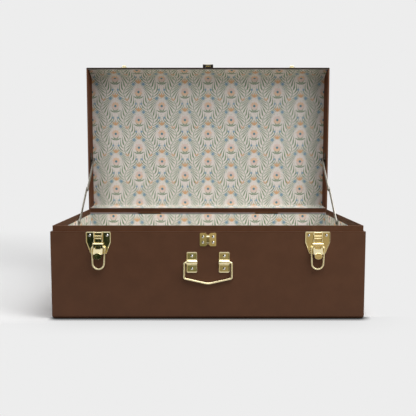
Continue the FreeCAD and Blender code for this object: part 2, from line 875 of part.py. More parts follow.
def stay_screw_hole(y, z):
    x = stay_wall() + stay_bracket
    return rod(V(x + overrun, y, z), V(-overrun - stay_bracket - stay_screw_reach, 0, 0),
               stay_screw_radius + hole_fit)


def strap(start, end, x0, hole_radii):
    """A flat link with round ends between two (y, z) pivots."""
    a = V(x0, start[0], start[1])
    b = V(x0, end[0], end[1])
    along = (b - a).normalize()
    side = V(1, 0, 0).cross(along) * (stay_width / 2)
    tip = along * (stay_width / 2)
    ends = [a + side - tip, b + side + tip, b - side + tip, a - side - tip]
    link = outline(ends, [stay_width / 2 - hole_fit] * 4).extrude(V(stay_thick, 0, 0))
    for centre, radius in zip((a, b), hole_radii):
        if radius:
            link = link.cut(rod(centre - V(overrun, 0, 0), V(stay_thick + 2 * overrun, 0, 0), radius))
    return link


def stud(y, z, x0, x1):
    """A pivot from x0 to x1 with a head on its free end."""
    pin = rod(V(x0, y, z), V(x1 - x0, 0, 0), stay_pivot_radius)
    head = rod(V(x1, y, z), V(stay_head_thick, 0, 0), stay_head_radius)
    edge = [e for e in head.Edges if e.BoundBox.XMin > x1 + stay_head_thick / 2]
    return fused([pin, head.makeFillet(stay_head_thick / 2, edge)])


def make_stays():
    lid, body, knee = stay_pivots()
    wall = stay_wall()
    lower_x = wall + stay_bracket + side_fit
    upper_x = lower_x + stay_thick + stay_gap
    hole = stay_pivot_radius + running_fit
    half = stay_bracket_width / 2
    top = body[1] + half
    low = top - stay_bracket_height
    corners = [(body[0] - half, top), (body[0] + half, top), (body[0] + half, low), (body[0] - half, low)]
    soft = [half - hole_fit, half - hole_fit, stay_bracket_round, stay_bracket_round]
    bracket = along_x(corners, soft, wall, wall + stay_bracket)
    screws = []
    for y, z in stay_screw_places():
        bracket = bracket.cut(stay_screw_hole(y, z))
        face = wall + stay_bracket
        shank = rod(V(face, y, z), V(-stay_bracket - stay_screw_reach, 0, 0), stay_screw_radius)
        head = rod(V(face, y, z), V(stay_screw_head_rise, 0, 0), stay_screw_head_radius)
        screws.append(fused([shank, head]))
    body_bracket = fused([bracket, stud(body[0], body[1], wall, lower_x + stay_thick + side_fit)])
    lower = strap(body, knee, lower_x, (hole, 0))
    upper = strap(lid, knee, upper_x, (hole, stay_pivot_radius))
    knee_face = upper_x + stay_thick
    cap = rod(V(knee_face, knee[0], knee[1]), V(stay_head_thick, 0, 0), stay_head_radius)
    rim_edge = [e for e in cap.Edges if e.BoundBox.XMin > knee_face + stay_head_thick / 2]
    cap = cap.makeFillet(stay_head_thick / 2, rim_edge)
    knee_rivet = fused([rod(V(upper_x, knee[0], knee[1]), V(stay_thick, 0, 0), stay_pivot_radius), cap])
    end_face = -half_width + lid_end
    span = stay_lid_bracket_height / 2
    y0 = lid[0] - half
    y1 = lid[0] + half
    plate = along_x([(y0, lid[1] + span), (y1, lid[1] + span), (y1, lid[1] - span), (y0, lid[1] - span)],
                    [stay_bracket_round] * 4, end_face, end_face + stay_lid_bracket)
    boss = rod(V(end_face, lid[0], lid[1]), V(upper_x - side_fit - end_face, 0, 0), stay_lid_boss_radius)
    pivot = stud(lid[0], lid[1], end_face, upper_x + stay_thick + side_fit)
    lid_bracket = fused([plate, boss, pivot])
    pieces = {
        "stay_body_bracket": body_bracket,
        "stay_lower_link": lower,
        "stay_upper_link": upper,
        "stay_knee_rivet": knee_rivet,
        "stay_lid_bracket": lid_bracket,
    }
    for name, shape in pieces.items():
        parts[name + "_left"] = shape
        parts[name + "_right"] = mirrored(shape)
    parts["stay_screws"] = Part.makeCompound(screws + [mirrored(s) for s in screws])


def make_all():
    make_body()
    make_liners()
    make_linings()
    pins = [make_latch("left", -latch_spread), make_latch("right", latch_spread)]
    parts["latch_pins"] = Part.makeCompound(pins)
    make_catch()
    make_handle()
    parts["front_rivets"] = Part.makeCompound([rivet(*place) for place in front_rivets()])
    make_hinges()
    make_lid()
    make_keepers()
    make_hasp()
    parts["lid_rivets"] = Part.makeCompound([opened(lid_rivet(*p, 0)) for p in lid_rivets()])
    make_stays()


make_all()
os.makedirs("parts", exist_ok=True)
for node in sorted(parts):
    parts[node].exportStep("parts/" + node + ".step")
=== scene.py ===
import json
import math

import bmesh
import bpy
from bpy.props import FloatProperty, FloatVectorProperty, PointerProperty
from bpy.types import NodeSocket, Operator, Panel, PropertyGroup
from mathutils import Matrix, Vector

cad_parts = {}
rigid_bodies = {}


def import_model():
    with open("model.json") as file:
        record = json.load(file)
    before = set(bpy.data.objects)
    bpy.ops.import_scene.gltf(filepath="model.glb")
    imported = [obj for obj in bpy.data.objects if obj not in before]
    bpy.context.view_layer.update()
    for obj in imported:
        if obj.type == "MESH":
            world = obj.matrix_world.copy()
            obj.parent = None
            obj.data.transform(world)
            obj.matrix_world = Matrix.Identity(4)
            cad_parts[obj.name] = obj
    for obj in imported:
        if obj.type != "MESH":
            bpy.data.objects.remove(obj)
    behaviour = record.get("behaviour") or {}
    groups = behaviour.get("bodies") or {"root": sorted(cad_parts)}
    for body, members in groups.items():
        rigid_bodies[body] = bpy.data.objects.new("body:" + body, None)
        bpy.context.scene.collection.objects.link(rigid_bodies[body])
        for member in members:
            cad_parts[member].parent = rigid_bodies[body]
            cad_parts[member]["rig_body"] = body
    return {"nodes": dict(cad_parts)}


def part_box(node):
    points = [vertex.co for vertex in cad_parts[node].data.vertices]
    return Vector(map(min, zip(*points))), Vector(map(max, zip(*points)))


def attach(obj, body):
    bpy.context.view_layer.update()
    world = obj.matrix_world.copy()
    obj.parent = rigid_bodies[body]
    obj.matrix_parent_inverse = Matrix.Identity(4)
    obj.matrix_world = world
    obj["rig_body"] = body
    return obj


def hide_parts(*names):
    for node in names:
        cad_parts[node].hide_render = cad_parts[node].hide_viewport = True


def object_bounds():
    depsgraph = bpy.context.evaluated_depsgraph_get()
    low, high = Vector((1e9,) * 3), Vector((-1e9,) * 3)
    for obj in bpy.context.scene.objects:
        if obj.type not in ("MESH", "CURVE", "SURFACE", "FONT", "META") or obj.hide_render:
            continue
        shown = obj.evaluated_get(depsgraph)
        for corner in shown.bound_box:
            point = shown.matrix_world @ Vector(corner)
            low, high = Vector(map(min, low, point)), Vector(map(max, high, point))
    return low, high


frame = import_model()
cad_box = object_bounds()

bl_info = {
    "name": "Dome Top Trunk",
    "version": (1, 0, 0),
    "blender": (4, 5, 0),
    "location": "View3D > Sidebar > Trunk",
    "description": "Dresses the packed trunk with its cover, lining, brass fittings and a studio",
    "category": "Object",
}

MM = 0.001
PRINT_MAP = "print"
SIDES = ("left", "right")
FRONT = (0.0, -1.0, 0.0)
# Edges that turn by more than this stay sharp, and are eased on stamped metal.
SHARP = math.radians(38)
# Steps round an eased edge, a plate's corner and a bend of wire.
EASE_STEPS, CORNER_STEPS, BEND_STEPS = 3, 5, 8


def mm(*lengths):
    return [length * MM for length in lengths]


def tone(*screen):
    """A colour read off a screen, 0 to 255, as the linear value that Blender keeps."""
    return tuple(
        c / 255 / 12.92 if c < 10.3 else ((c / 255 + 0.055) / 1.055) ** 2.4
        for c in screen)


def colour(name, description, *screen):
    return FloatVectorProperty(
        name=name, description=description, subtype="COLOR", size=3, min=0, max=1,
        default=tone(*screen))


def number(name, description, subtype, default, **more):
    return FloatProperty(
        name=name, description=description, subtype=subtype, min=0, default=default, **more)


def distance(name, description, millimetres):
    return number(name, description, "DISTANCE", millimetres * MM, unit="LENGTH", precision=5)


def share(name, description, value):
    return number(name, description, "FACTOR", value, max=1)


def power(name, description, watts):
    return number(name, description, "POWER", watts, unit="POWER")


class CoverSettings(PropertyGroup):
    """The brown cover of the boards, outside and along the rims."""

    cover: colour("Cover", "Main brown of the pebbled cover", 106, 70, 49)
    worn: colour("Rubbed edge", "Paler brown where edges are rubbed", 112, 80, 60)
    # Painted shade: a darker brown for inward-facing faces, such as the inside of the lid's ends, standing
    # in for the shade inside the lid.
    inside: colour("Inside of the ends", "Darker brown paper on the inside of the lid's ends", 84, 46, 26)
    rim: colour("Rim", "Brown paper on the lid's rail", 83, 52, 34)
    # Painted light and shade: the front and side lips are one brown paper, given their own tones for how
    # each is lit.
    lip: colour("Front lip", "Brown paper on the body's front lip", 111, 75, 54)
    side_lip: colour("Side lips", "Brown paper on the lips of the body's ends", 92, 61, 43)
    # Painted shade: a deep brown standing in for the hinges' shade on the body's rear edge; the lid's front
    # rim is darkened to it as well.
    seam: colour("Rear edge", "Brown paper on the body's rear edge, between the hinges", 40, 26, 18)
    wood: colour("Bare board", "Unfinished board inside the lid's dome", 176, 140, 98)
    pebble: distance("Pebble", "Size of one pebble of the cover's grain", 0.9)
    rub: distance("Rub", "How far in from an edge the cover is rubbed", 2.6)
    gloss: share("Roughness", "How dull the cover is", 0.52)


class LiningSettings(PropertyGroup):
    """The printed paper inside the body and the lid."""

    ground: colour("Ground", "Unprinted paper", 231, 223, 218)
    leaf: colour("Leaf", "Leaves that catch the light", 149, 169, 138)
    deep_leaf: colour("Deep leaf", "Leaves in the shade, and tufts", 108, 136, 100)
    petal: colour("Petal", "Outer petals of the rosettes", 232, 198, 164)
    heart: colour("Bud", "Orange buds", 216, 172, 128)
    bell: colour("Bell", "Small blue flowers", 148, 172, 189)
    deep_bell: colour("Deep bell", "Hearts of the flowers, and berries", 92, 136, 152)
    blush: colour("Blush", "Pale leaves strewn behind, and creases of the petals", 224, 204, 196)
    # Painted shade: the lining darkens towards the trunk's ends, where the end boards shade it.
    painted_end_shade: share("Browned ends", "How far the paper has darkened towards the trunk's ends", 0.26)
    size: share("Print size", "How large the design is printed", 0.95)


class FittingSettings(PropertyGroup):
    """Brass, nickel and steel fittings."""

    brass: colour("Brass", "Plated brass of the latches, catch and handle", 247, 234, 190)
    # Partly real and partly painted: the hinges' darkened old brass, made darker still as painted shade for
    # the shaded gap at the back.
    old_brass_in_shade: colour("Hinge brass", "Darkened brass of the hinges", 74, 52, 34)
    nickel: colour("Nickel", "Rivets and screws", 222, 222, 220)
    # Painted shade and reflection: laid on the hasp's inner side and on one side of each rivet's head.
    painted_shade_and_reflection: colour("Shade", "What the hasp's inner side and the left of a rivet's head mirror", 44, 42, 40)
    steel: colour("Steel", "Satin steel of the stays' links", 164, 160, 152)
    # Painted shade: darkened steel on the stays' lid brackets and the stay screws, standing in for the
    # shadow round the brackets.
    dark_steel: colour("Dark steel", "Blackened steel of the stays' brackets and rivets", 84, 76, 68)
    brass_dull: share("Brass roughness", "How dull the brass is", 0.13)
    steel_dull: share("Steel roughness", "How dull the stays are", 0.36)
    ease: distance("Eased edge", "Round on the sharp edges of stamped metal", 0.3)
    bead: distance("Bead", "Rise of the pressed bead along a plate's edge", 0.45)


class StageSettings(PropertyGroup):
    """Floor, lamps and camera."""

    backdrop: colour("Backdrop", "Floor and background", 237, 237, 237)
    lens: number("Lens", "Focal length for a 36 mm sensor, in millimetres", "NONE", 49.89)
    camera_back: distance("Camera distance", "Camera in front of the trunk's middle", 1054.6)
    camera_height: distance("Camera height", "Camera above the floor", 258.5)
    camera_tilt: number("Camera tilt", "How far the camera looks down", "ANGLE", 0.0886)
    key: power("Key lamp", "Lamp from the upper right, in front", 14)
    top: power("Top lamp", "Wide lamp overhead", 22)
    fill: power("Fill lamp", "Wide lamp from the left, in front", 0.5)
    sky: share("Sky", "Even light from all round", 0.45)
    bounce: share("Floor bounce", "How much of its light the floor throws back", 0.12)
    card_left: colour("Card, left", "What polished metal mirrors at the left", 28, 36, 24)
    card_middle: colour("Card, middle", "What polished metal mirrors left of the middle", 96, 104, 68)
    card_right: colour("Card, right", "What polished metal mirrors at the right", 196, 174, 136)


class Wiring:
    """Adds nodes to one tree and links what feeds them."""

    def __init__(self, tree):
        self.tree = tree

    def feed(self, socket, value):
        if isinstance(value, NodeSocket):
            self.tree.links.new(value, socket)
        else:
            socket.default_value = (*value, 1.0) if socket.type == "RGBA" else value

    def node(self, kind, inputs=(), **settings):
        made = self.tree.nodes.new("ShaderNode" + kind)
        for key, value in settings.items():
            setattr(made, key, value)
        self.fill(made, dict(inputs))
        return made

    def fill(self, node, inputs):
        for key, value in inputs.items():
            self.feed(node.inputs[key], value)

    def math(self, operation, *values):
        return self.node("Math", enumerate(values), operation=operation).outputs[0]

    def times(self, a, b):
        return self.math("MULTIPLY", a, b)

    def less(self, a, b):
        return self.math("SUBTRACT", a, b)

    def size(self, value):
        """The value without its sign."""
        return self.math("ABSOLUTE", value)

    def tuned(self, value, factor, base):
        """The value times the factor, plus the base."""
        return self.math("MULTIPLY_ADD", value, factor, base)

    def vector(self, operation, *values):
        made = self.node("VectorMath", enumerate(values), operation=operation)
        return made.outputs["Value" if operation in ("LENGTH", "DOT_PRODUCT") else "Vector"]

    def scaled(self, vector, factor):
        return self.node("VectorMath", {0: vector, "Scale": factor}, operation="SCALE").outputs["Vector"]

    def split(self, vector):
        return self.node("SeparateXYZ", {0: vector}).outputs

    def joined(self, x, y, z=0.0):
        return self.node("CombineXYZ", {0: x, 1: y, 2: z}).outputs[0]

    def fade(self, value, low, high, start=0.0, end=1.0):
        limits = {"Value": value, "From Min": low, "From Max": high, "To Min": start, "To Max": end}
        return self.node("MapRange", limits, interpolation_type="SMOOTHSTEP").outputs["Result"]

    def mix(self, factor, under, over):
        return self.node("Mix", {0: factor, 6: under, 7: over}, data_type="RGBA").outputs[2]

    def noise(self, vector, scale, detail=2.0, roughness=0.5):
        settings = {"Vector": vector, "Scale": scale, "Detail": detail, "Roughness": roughness}
        return self.node("TexNoise", settings).outputs["Fac"]

    def greatest(self, masks):
        whole = masks[0]
        for mask in masks[1:]:
            whole = self.math("MAXIMUM", whole, mask)
        return whole

    def facing(self, way):
        """How squarely the surface faces this way, with the lid wide open."""
        return self.vector("DOT_PRODUCT", self.node("TexCoord").outputs["Normal"], way)

    def use(self, group, inputs):
        return self.node("Group", inputs, node_tree=group).outputs


def darker(tint, left):
    """The tint with this share of its light left."""
    return [c * left for c in tint]


def sockets(vectors="", floats=""):
    """The kinds of a node group's sockets, from their names."""
    return {**dict.fromkeys(vectors.split(), "Vector"), **dict.fromkeys(floats.split(), "Float")}


def once(maker):
    """Each material or node group is made the first time it is asked for."""
    kept = {}

    def get(*key):
        if key not in kept:
            kept[key] = maker(*key)
        return kept[key]
    return get


def effect(name, inputs, outputs):
    """Makes what follows the wiring of a node group with these sockets."""
    def keep(wire):
        @once
        def group():
            tree = bpy.data.node_groups.new(name, "ShaderNodeTree")
            for way, row in (("INPUT", inputs), ("OUTPUT", outputs)):
                for label, kind in row.items():
                    tree.interface.new_socket(label, in_out=way, socket_type="NodeSocket" + kind)
            given = tree.nodes.new("NodeGroupInput").outputs
            taken = tree.nodes.new("NodeGroupOutput")
            w = Wiring(tree)
            w.fill(taken, wire(w, given))
            return tree
        return group
    return keep


@effect("Pebbled grain", sockets("Vector", "Cell"), sockets(floats="Height Tint"))
def pebbles(w, given):
    """Pebbled grain of coated paper: a height, and a tint from pebble to pebble."""
    at = w.vector("DIVIDE", given["Vector"], w.joined(given["Cell"], given["Cell"], given["Cell"]))
    swirl = w.node("TexNoise", {"Vector": at, "Scale": 0.7}).outputs["Color"]
    uneven = w.vector("ADD", at, w.scaled(swirl, 0.9))
    cell = w.node("TexVoronoi", {"Vector": uneven, "Scale": 1.0}, feature="SMOOTH_F1")
    dome = w.less(1.0, w.times(cell.outputs["Distance"], cell.outputs["Distance"]))
    fine = w.noise(at, 3.2, 3.0)
    height = w.tuned(fine, 0.25, dome)
    broad = w.noise(at, 0.035, 4.0, 0.6)
    tint = w.tuned(w.less(broad, 0.5), 1.6, fine)
    return {"Height": height, "Tint": tint}


@effect("Rubbed edges", sockets("Vector Low High", "Reach"), sockets(floats="Mask"))
def rubbed_edges(w, given):
    """Where a boxy piece is rubbed: near the edges of the box from Low to High."""
    inside = w.vector("MINIMUM", w.vector("SUBTRACT", given["Vector"], given["Low"]),
                      w.vector("SUBTRACT", given["High"], given["Vector"]))
    a, b, c = w.split(inside)
    second = w.math("MAXIMUM", w.math("MINIMUM", a, b),
                    w.math("MINIMUM", w.math("MAXIMUM", a, b), c))
    broken = w.tuned(w.noise(given["Vector"], 130.0, 5.0, 0.65), 1.7, -0.35)
    reach = w.times(given["Reach"], broken)
    return {"Mask": w.less(1.0, w.fade(second, w.times(reach, 0.2), reach))}


@effect("Handled metal", sockets("Vector"), sockets(floats="Smudge Hairline"))
def handled_metal(w, given):
    """Smudges and hairlines of plated metal."""
    smudge = w.fade(w.noise(given["Vector"], 95.0, 4.0, 0.6), 0.35, 0.75)
    drawn = w.vector("MULTIPLY", given["Vector"], (90.0, 900.0, 2600.0))
    hair = w.noise(drawn, 1.0, 2.0)
    return {"Smudge": smudge, "Hairline": hair}


@effect("Leafy stem", sockets("Vector", "Across Sway Span Pitch Width"), sockets(floats="Mask"))
def leafy_stem(w, given):
    """An upright stem that sways, with slender leaves in pairs that curl upward."""
    x, y, _ = w.split(given["Vector"])
    sway = w.math("SINE", w.times(y, 2 * math.pi / REPEAT[1]))
    off = w.size(w.less(x, w.tuned(sway, given["Sway"], given["Across"])))
    out = w.math("DIVIDE", off, given["Span"])
    rise = w.times(off, w.tuned(out, 0.75, 0.45))
    pitch = w.times(given["Pitch"], 0.5)
    row = w.math("WRAP", w.less(y, rise), pitch, w.times(pitch, -1.0))
    lens = w.times(w.times(out, 4.0), w.less(1.0, out))
    leaf = w.less(w.times(lens, given["Width"]), w.size(row))
    return {"Mask": w.math("MAXIMUM", w.fade(leaf, 0.0, 0.6), w.fade(off, 0.9, 0.4))}


@effect("Fan stamp", sockets("Vector Centre", "Start Step Last Length Width"), sockets(floats="Mask"))
def fan_stamp(w, given):
    """Narrow leaves spread from one point, Step apart from Start on."""
    away = w.vector("SUBTRACT", given["Vector"], given["Centre"])
    x, y, _ = w.split(away)
    reach = w.vector("LENGTH", away)
    turn = w.less(w.math("ARCTAN2", y, x), given["Start"])
    count = w.math("DIVIDE", turn, given["Step"])
    near = w.math("MINIMUM", w.math("MAXIMUM", w.math("ROUND", count), 0.0), given["Last"])
    aside = w.times(w.less(count, near), given["Step"])
    off = w.times(reach, w.size(aside))
    out = w.math("DIVIDE", reach, given["Length"])
    lens = w.times(w.times(out, 4.0), w.less(1.0, out))
    spare = w.less(w.times(lens, given["Width"]), off)
    return {"Mask": w.fade(spare, 0.0, 0.5)}


@effect("Rosette stamp", sockets("Vector Centre", "Radius Petals Turn"),
        sockets(floats="Petals Crease Heart"))
def rosette_stamp(w, given):
    """One flat flower in millimetres: petals, the creases between them, and the heart."""
    away = w.vector("SUBTRACT", given["Vector"], given["Centre"])
    x, y, _ = w.split(away)
    reach = w.vector("LENGTH", away)
    angle = w.math("ADD", w.math("ARCTAN2", y, x), given["Turn"])
    lobe = w.size(w.math("COSINE", w.times(angle, w.times(given["Petals"], 0.5))))
    edge = w.times(given["Radius"], w.tuned(w.math("POWER", lobe, 0.6), 0.42, 0.58))
    heart = w.less(w.times(given["Radius"], 0.3), reach)
    return {"Petals": w.fade(w.less(edge, reach), 0.0, 0.45),
            "Crease": w.fade(lobe, 0.32, 0.1),
            "Heart": w.fade(heart, 0.0, 0.4)}


# The print's inks, named as the lining's settings are.
INKS = ("Ground", "Leaf", "Deep leaf", "Petal", "Heart", "Bell", "Deep bell", "Blush")
# Width and height of one repeat of the print, as drawn.
REPEAT = (104.0, 62.0)
# One repeat's stamps in the same units, right half: the left half mirrors it.
# Leaf tufts and buds: across, up, start and step in degrees, count from nought, length, half width.
TUFTS = ((0, 3, 26, 32, 2, 14, 1.3), (52, 34, 90, 32, 2, 14, 1.3))
BUDS = ((0, 36, 54, 36, 1, 12, 1.9), (52, 5, 90, 36, 1, 12, 1.9), (26, 29, 60, 60, 1, 9, 1.5))
# Flowers and berries: across, up, radius, petals, turn in degrees.
ROSETTES = ((0, 18, 9.5, 10, 90), (52, 49, 9.5, 10, 90))
BELLS = ((11, 35, 4.2, 5, 90), (41, 4.5, 4.2, 5, 90), (6, 54, 3.0, 5, 30), (46, 23, 3.0, 5, 30))
BERRIES = ((15, 24, 1.4, 1, 0), (37, 55, 1.4, 1, 0), (9, 46, 1.2, 1, 0), (43, 15, 1.2, 1, 0))


@effect("Strewn leaves", sockets("Vector", "Pitch Width"), sockets(floats="Mask Chance"))
def strewn(w, given):
    """Small bent leaves, one to a cell, each turned its own way."""
    at = w.scaled(given["Vector"], w.math("DIVIDE", 1.0, given["Pitch"]))
    cell = w.node("TexVoronoi", {"Vector": at, "Scale": 1.0, "Randomness": 0.75}, voronoi_dimensions="2D")
    spin, chance, _ = w.split(cell.outputs["Color"])
    away = w.vector("SUBTRACT", at, cell.outputs["Position"])
    turned = w.node("VectorRotate", {"Vector": away, "Angle": w.times(spin, 2 * math.pi)},
                    rotation_type="Z_AXIS").outputs[0]
    x, y, _ = w.split(turned)
    square = w.times(x, x)
    off = w.size(w.tuned(square, 0.5, y))
    half = w.times(w.less(1.0, w.times(square, 5.2)), given["Width"])
    return {"Mask": w.fade(w.less(half, off), 0.0, 0.05), "Chance": chance}


@effect("Garden print", {**sockets("Vector", "Size"), **dict.fromkeys(INKS, "Color")}, {"Ink": "Color"})
def garden_print(w, given):
    """The lining's print: swaying leafy stems in mirrored columns, with flowers between them."""
    width, height = REPEAT
    place = w.scaled(given["Vector"], w.math("DIVIDE", 1 / MM, given["Size"]))
    across, up, _ = w.split(place)
    near = w.math("PINGPONG", across, width / 2)
    at = w.joined(near, w.math("WRAP", up, height, 0.0))

    def fans(rows):
        return w.greatest([w.use(fan_stamp(), {
            "Vector": at, "Centre": (x, y, 0.0), "Start": math.radians(start), "Step": math.radians(step),
            "Last": last, "Length": length, "Width": half})["Mask"]
            for x, y, start, step, last, length, half in rows])

    def flowers(rows):
        made = [w.use(rosette_stamp(), {
            "Vector": at, "Centre": (x, y, 0.0), "Radius": radius, "Petals": petals,
            "Turn": math.radians(turn)}) for x, y, radius, petals, turn in rows]
        return {name: w.greatest([stamp[name] for stamp in made])
                for name in ("Petals", "Crease", "Heart")}

    filler = w.use(strewn(), {"Vector": place, "Pitch": 5.0, "Width": 0.13})
    pale = w.mix(w.fade(filler["Chance"], 0.4, 0.6), given["Leaf"], given["Blush"])
    ink = w.mix(w.times(filler["Mask"], 0.6), given["Ground"], pale)
    stem = w.use(leafy_stem(), {"Vector": w.joined(near, up), "Across": width / 4, "Sway": 7.0,
                                "Span": 21.0, "Pitch": 7.2, "Width": 1.9})["Mask"]
    shade = w.fade(w.noise(place, 0.16, 2.0), 0.38, 0.62)
    ink = w.mix(stem, ink, w.mix(shade, given["Leaf"], given["Deep leaf"]))
    ink = w.mix(fans(TUFTS), ink, given["Deep leaf"])
    rosette, bell, berry = flowers(ROSETTES), flowers(BELLS), flowers(BERRIES)
    ink = w.mix(rosette["Petals"], ink, given["Petal"])
    ink = w.mix(w.times(rosette["Petals"], rosette["Crease"]), ink, given["Blush"])
    ink = w.mix(fans(BUDS), ink, given["Heart"])
    ink = w.mix(bell["Petals"], ink, given["Bell"])
    ink = w.mix(w.greatest([rosette["Heart"], bell["Heart"], berry["Petals"]]), ink, given["Deep bell"])
    return {"Ink": ink}


def finish(name):
    """A fresh material: its wiring, its shader and its place in the object."""
    made = bpy.data.materials.new(name)
    made.use_nodes = True
    w = Wiring(made.node_tree)
    shader = made.node_tree.nodes["Principled BSDF"]
    return made, w, shader, w.node("TexCoord").outputs["Object"]


def mottled(w, grain, tint, dark, low=0.2, high=0.85):
    """The tint, going to a darker one where the grain is low."""
    return w.mix(w.fade(grain, low, high), darker(tint, dark), tint)


def rubbed(w, place, low, high, reach):
    return w.use(rubbed_edges(), {"Vector": place, "Low": low, "High": high, "Reach": reach})["Mask"]


def emboss(w, shader, strength, depth, height):
    bump = w.node("Bump", {"Strength": strength, "Distance": depth * MM, "Height": height})
    w.feed(shader.inputs["Normal"], bump.outputs[0])


# How far below the top the darker band begins, and is full: on the lid's front-facing rim, and as painted
# shade along the top of the body's boards, under the lips.
LID_RIM, BODY_RIM_SHADE = mm(3.4, 2.6), mm(1.6, 0.6)


@once
def leatherette(low, high, lid):
    """Brown coated paper with a fine pebble, rubbed along the edges of its box; the lid's front rim is
    darkened to the shade brown, with painted shade under the body's lips and on inward faces.
    """
    cover = bpy.context.scene.trunk_cover
    made, w, shader, place = finish("leatherette")
    grain = w.use(pebbles(), {"Vector": place, "Cell": cover.pebble})
    worn = rubbed(w, place, low, high, cover.rub)
    base = mottled(w, grain["Tint"], cover.cover, 0.86)
    base = w.mix(w.times(worn, 0.12), base, cover.worn)
    x, _, z = w.split(place)
    begins, full = (high[2] - drop for drop in (LID_RIM if lid else BODY_RIM_SHADE))
    if lid:
        # The lid's front-facing rim is darkened to the shade brown.
        rim = w.times(w.fade(z, begins, full), w.fade(w.facing(FRONT), 0.6, 0.9))
        base = w.mix(rim, base, cover.seam)
    else:
        # Painted shade along the top of the body's boards, under the lips.
        base = w.mix(w.fade(z, begins, full, 0.0, 0.9), base, darker(cover.cover, 0.75))
    # Painted shade: inward-facing faces, such as the inside of the lid's ends, take the darker inside brown.
    facing = w.split(w.node("NewGeometry").outputs["Normal"])[0]
    inward = w.math("LESS_THAN", w.times(x, facing), -0.05)
    base = w.mix(inward, base, cover.inside)
    dull = w.tuned(grain["Tint"], 0.12, cover.gloss - 0.06)
    w.fill(shader, {"Base Color": base, "Roughness": w.less(dull, w.times(worn, 0.08)),
                    "Specular IOR Level": w.tuned(inward, -0.2, 0.25)})
    emboss(w, shader, 0.35, 0.06, grain["Height"])
    return made


@once
def brown_board(low, high, part):
    """Brown paper pasted over board: the lid's rail, or the body's lips."""
    cover = bpy.context.scene.trunk_cover
    made, w, shader, place = finish("brown_board")
    grain = w.use(pebbles(), {"Vector": place, "Cell": cover.pebble * 0.6})
    worn = rubbed(w, place, low, high, cover.rub * 0.5)
    base = mottled(w, grain["Tint"], getattr(cover, part), 0.82)
    base = w.mix(w.times(worn, 0.4), base, cover.worn)
    w.fill(shader, {"Base Color": base, "Roughness": w.tuned(grain["Tint"], 0.14, 0.56),
                    "Specular IOR Level": 0.12})
    emboss(w, shader, 0.3, 0.05, grain["Height"])
    return made


# Painted light and shade by height: from, to, and the share that the lining's tone ends at; it lightens the
# body's lining, and towards the lid's top first darkens then lightens the lid's lining.
PAINTED_LIGHT_BY_HEIGHT = ((0.16, 0.13, 1.1), (0.30, 0.345, 0.91), (0.37, 0.41, 1.32))
# The lid's cut edge: the height that it lies above and the depth that it lies before, each from, to.
PAPER_EDGE = ((0.425, 0.43), (0.1552, 0.1532))


@once
def lining_print():
    """Printed paper: the garden print on a fibrous sheet, with painted shade towards the trunk's ends and
    painted light and shade by height.
    """
    lining = bpy.context.scene.trunk_lining
    made, w, shader, place = finish("lining_print")
    sheet = w.node("UVMap", uv_map=PRINT_MAP).outputs["UV"]
    inks = {label: getattr(lining, label.lower().replace(" ", "_")) for label in INKS}
    ink = w.use(garden_print(), {"Vector": sheet, "Size": lining.size, **inks})["Ink"]
    fibre = w.noise(w.vector("MULTIPLY", place, (700.0, 900.0, 1100.0)), 1.0, 4.0, 0.62)
    cloud = w.noise(place, 24.0, 3.0)
    out = w.size(w.split(sheet)[0])
    tone_and_painted_light = w.tuned(fibre, 0.1, w.tuned(cloud, 0.1, 0.9))
    # Painted shade: the paper darkens towards the trunk's ends.
    tone_and_painted_light = w.times(tone_and_painted_light, w.fade(out, 0.19, 0.247, 1.0, 1.0 - lining.painted_end_shade))
    _, y, z = w.split(place)
    edge = w.times(w.fade(z, *PAPER_EDGE[0]), w.fade(y, *PAPER_EDGE[1]))
    tone_and_painted_light = w.times(tone_and_painted_light, w.tuned(edge, -0.55, 1.0))
    # Painted light and shade by height.
    for low, high, end in PAINTED_LIGHT_BY_HEIGHT:
        tone_and_painted_light = w.times(tone_and_painted_light, w.fade(z, low, high, 1.0, end))
    w.fill(shader, {"Base Color": w.vector("MULTIPLY", ink, w.joined(tone_and_painted_light, tone_and_painted_light, tone_and_painted_light)),
                    "Roughness": w.tuned(fibre, 0.2, 0.62), "Specular IOR Level": 0.3})
    emboss(w, shader, 0.25, 0.05, fibre)
    return made


@once
def bare_wood():
    """Unfinished board of the ribs in the dome."""
    cover = bpy.context.scene.trunk_cover
    made, w, shader, place = finish("bare_wood")
    grain = w.noise(w.vector("MULTIPLY", place, (60.0, 500.0, 9.0)), 3.0, 4.0, 0.6)
    w.fill(shader, {"Base Color": mottled(w, grain, cover.wood, 0.6, 0.3, 0.7),
                    "Roughness": w.tuned(grain, 0.2, 0.6)})
    emboss(w, shader, 0.3, 0.1, grain)
    return made


# How far before the front panel the painted shade on the catch's staple begins, and is full: the staple is
# darkened so it does not mirror the lamp.
STAPLE_SHADE = mm(1.9, 2.5)
# Which way the painted dark reflection on a rivet's head faces.
RIVET_PAINTED_REFLECTION = (-0.40, -0.82, 0.41)


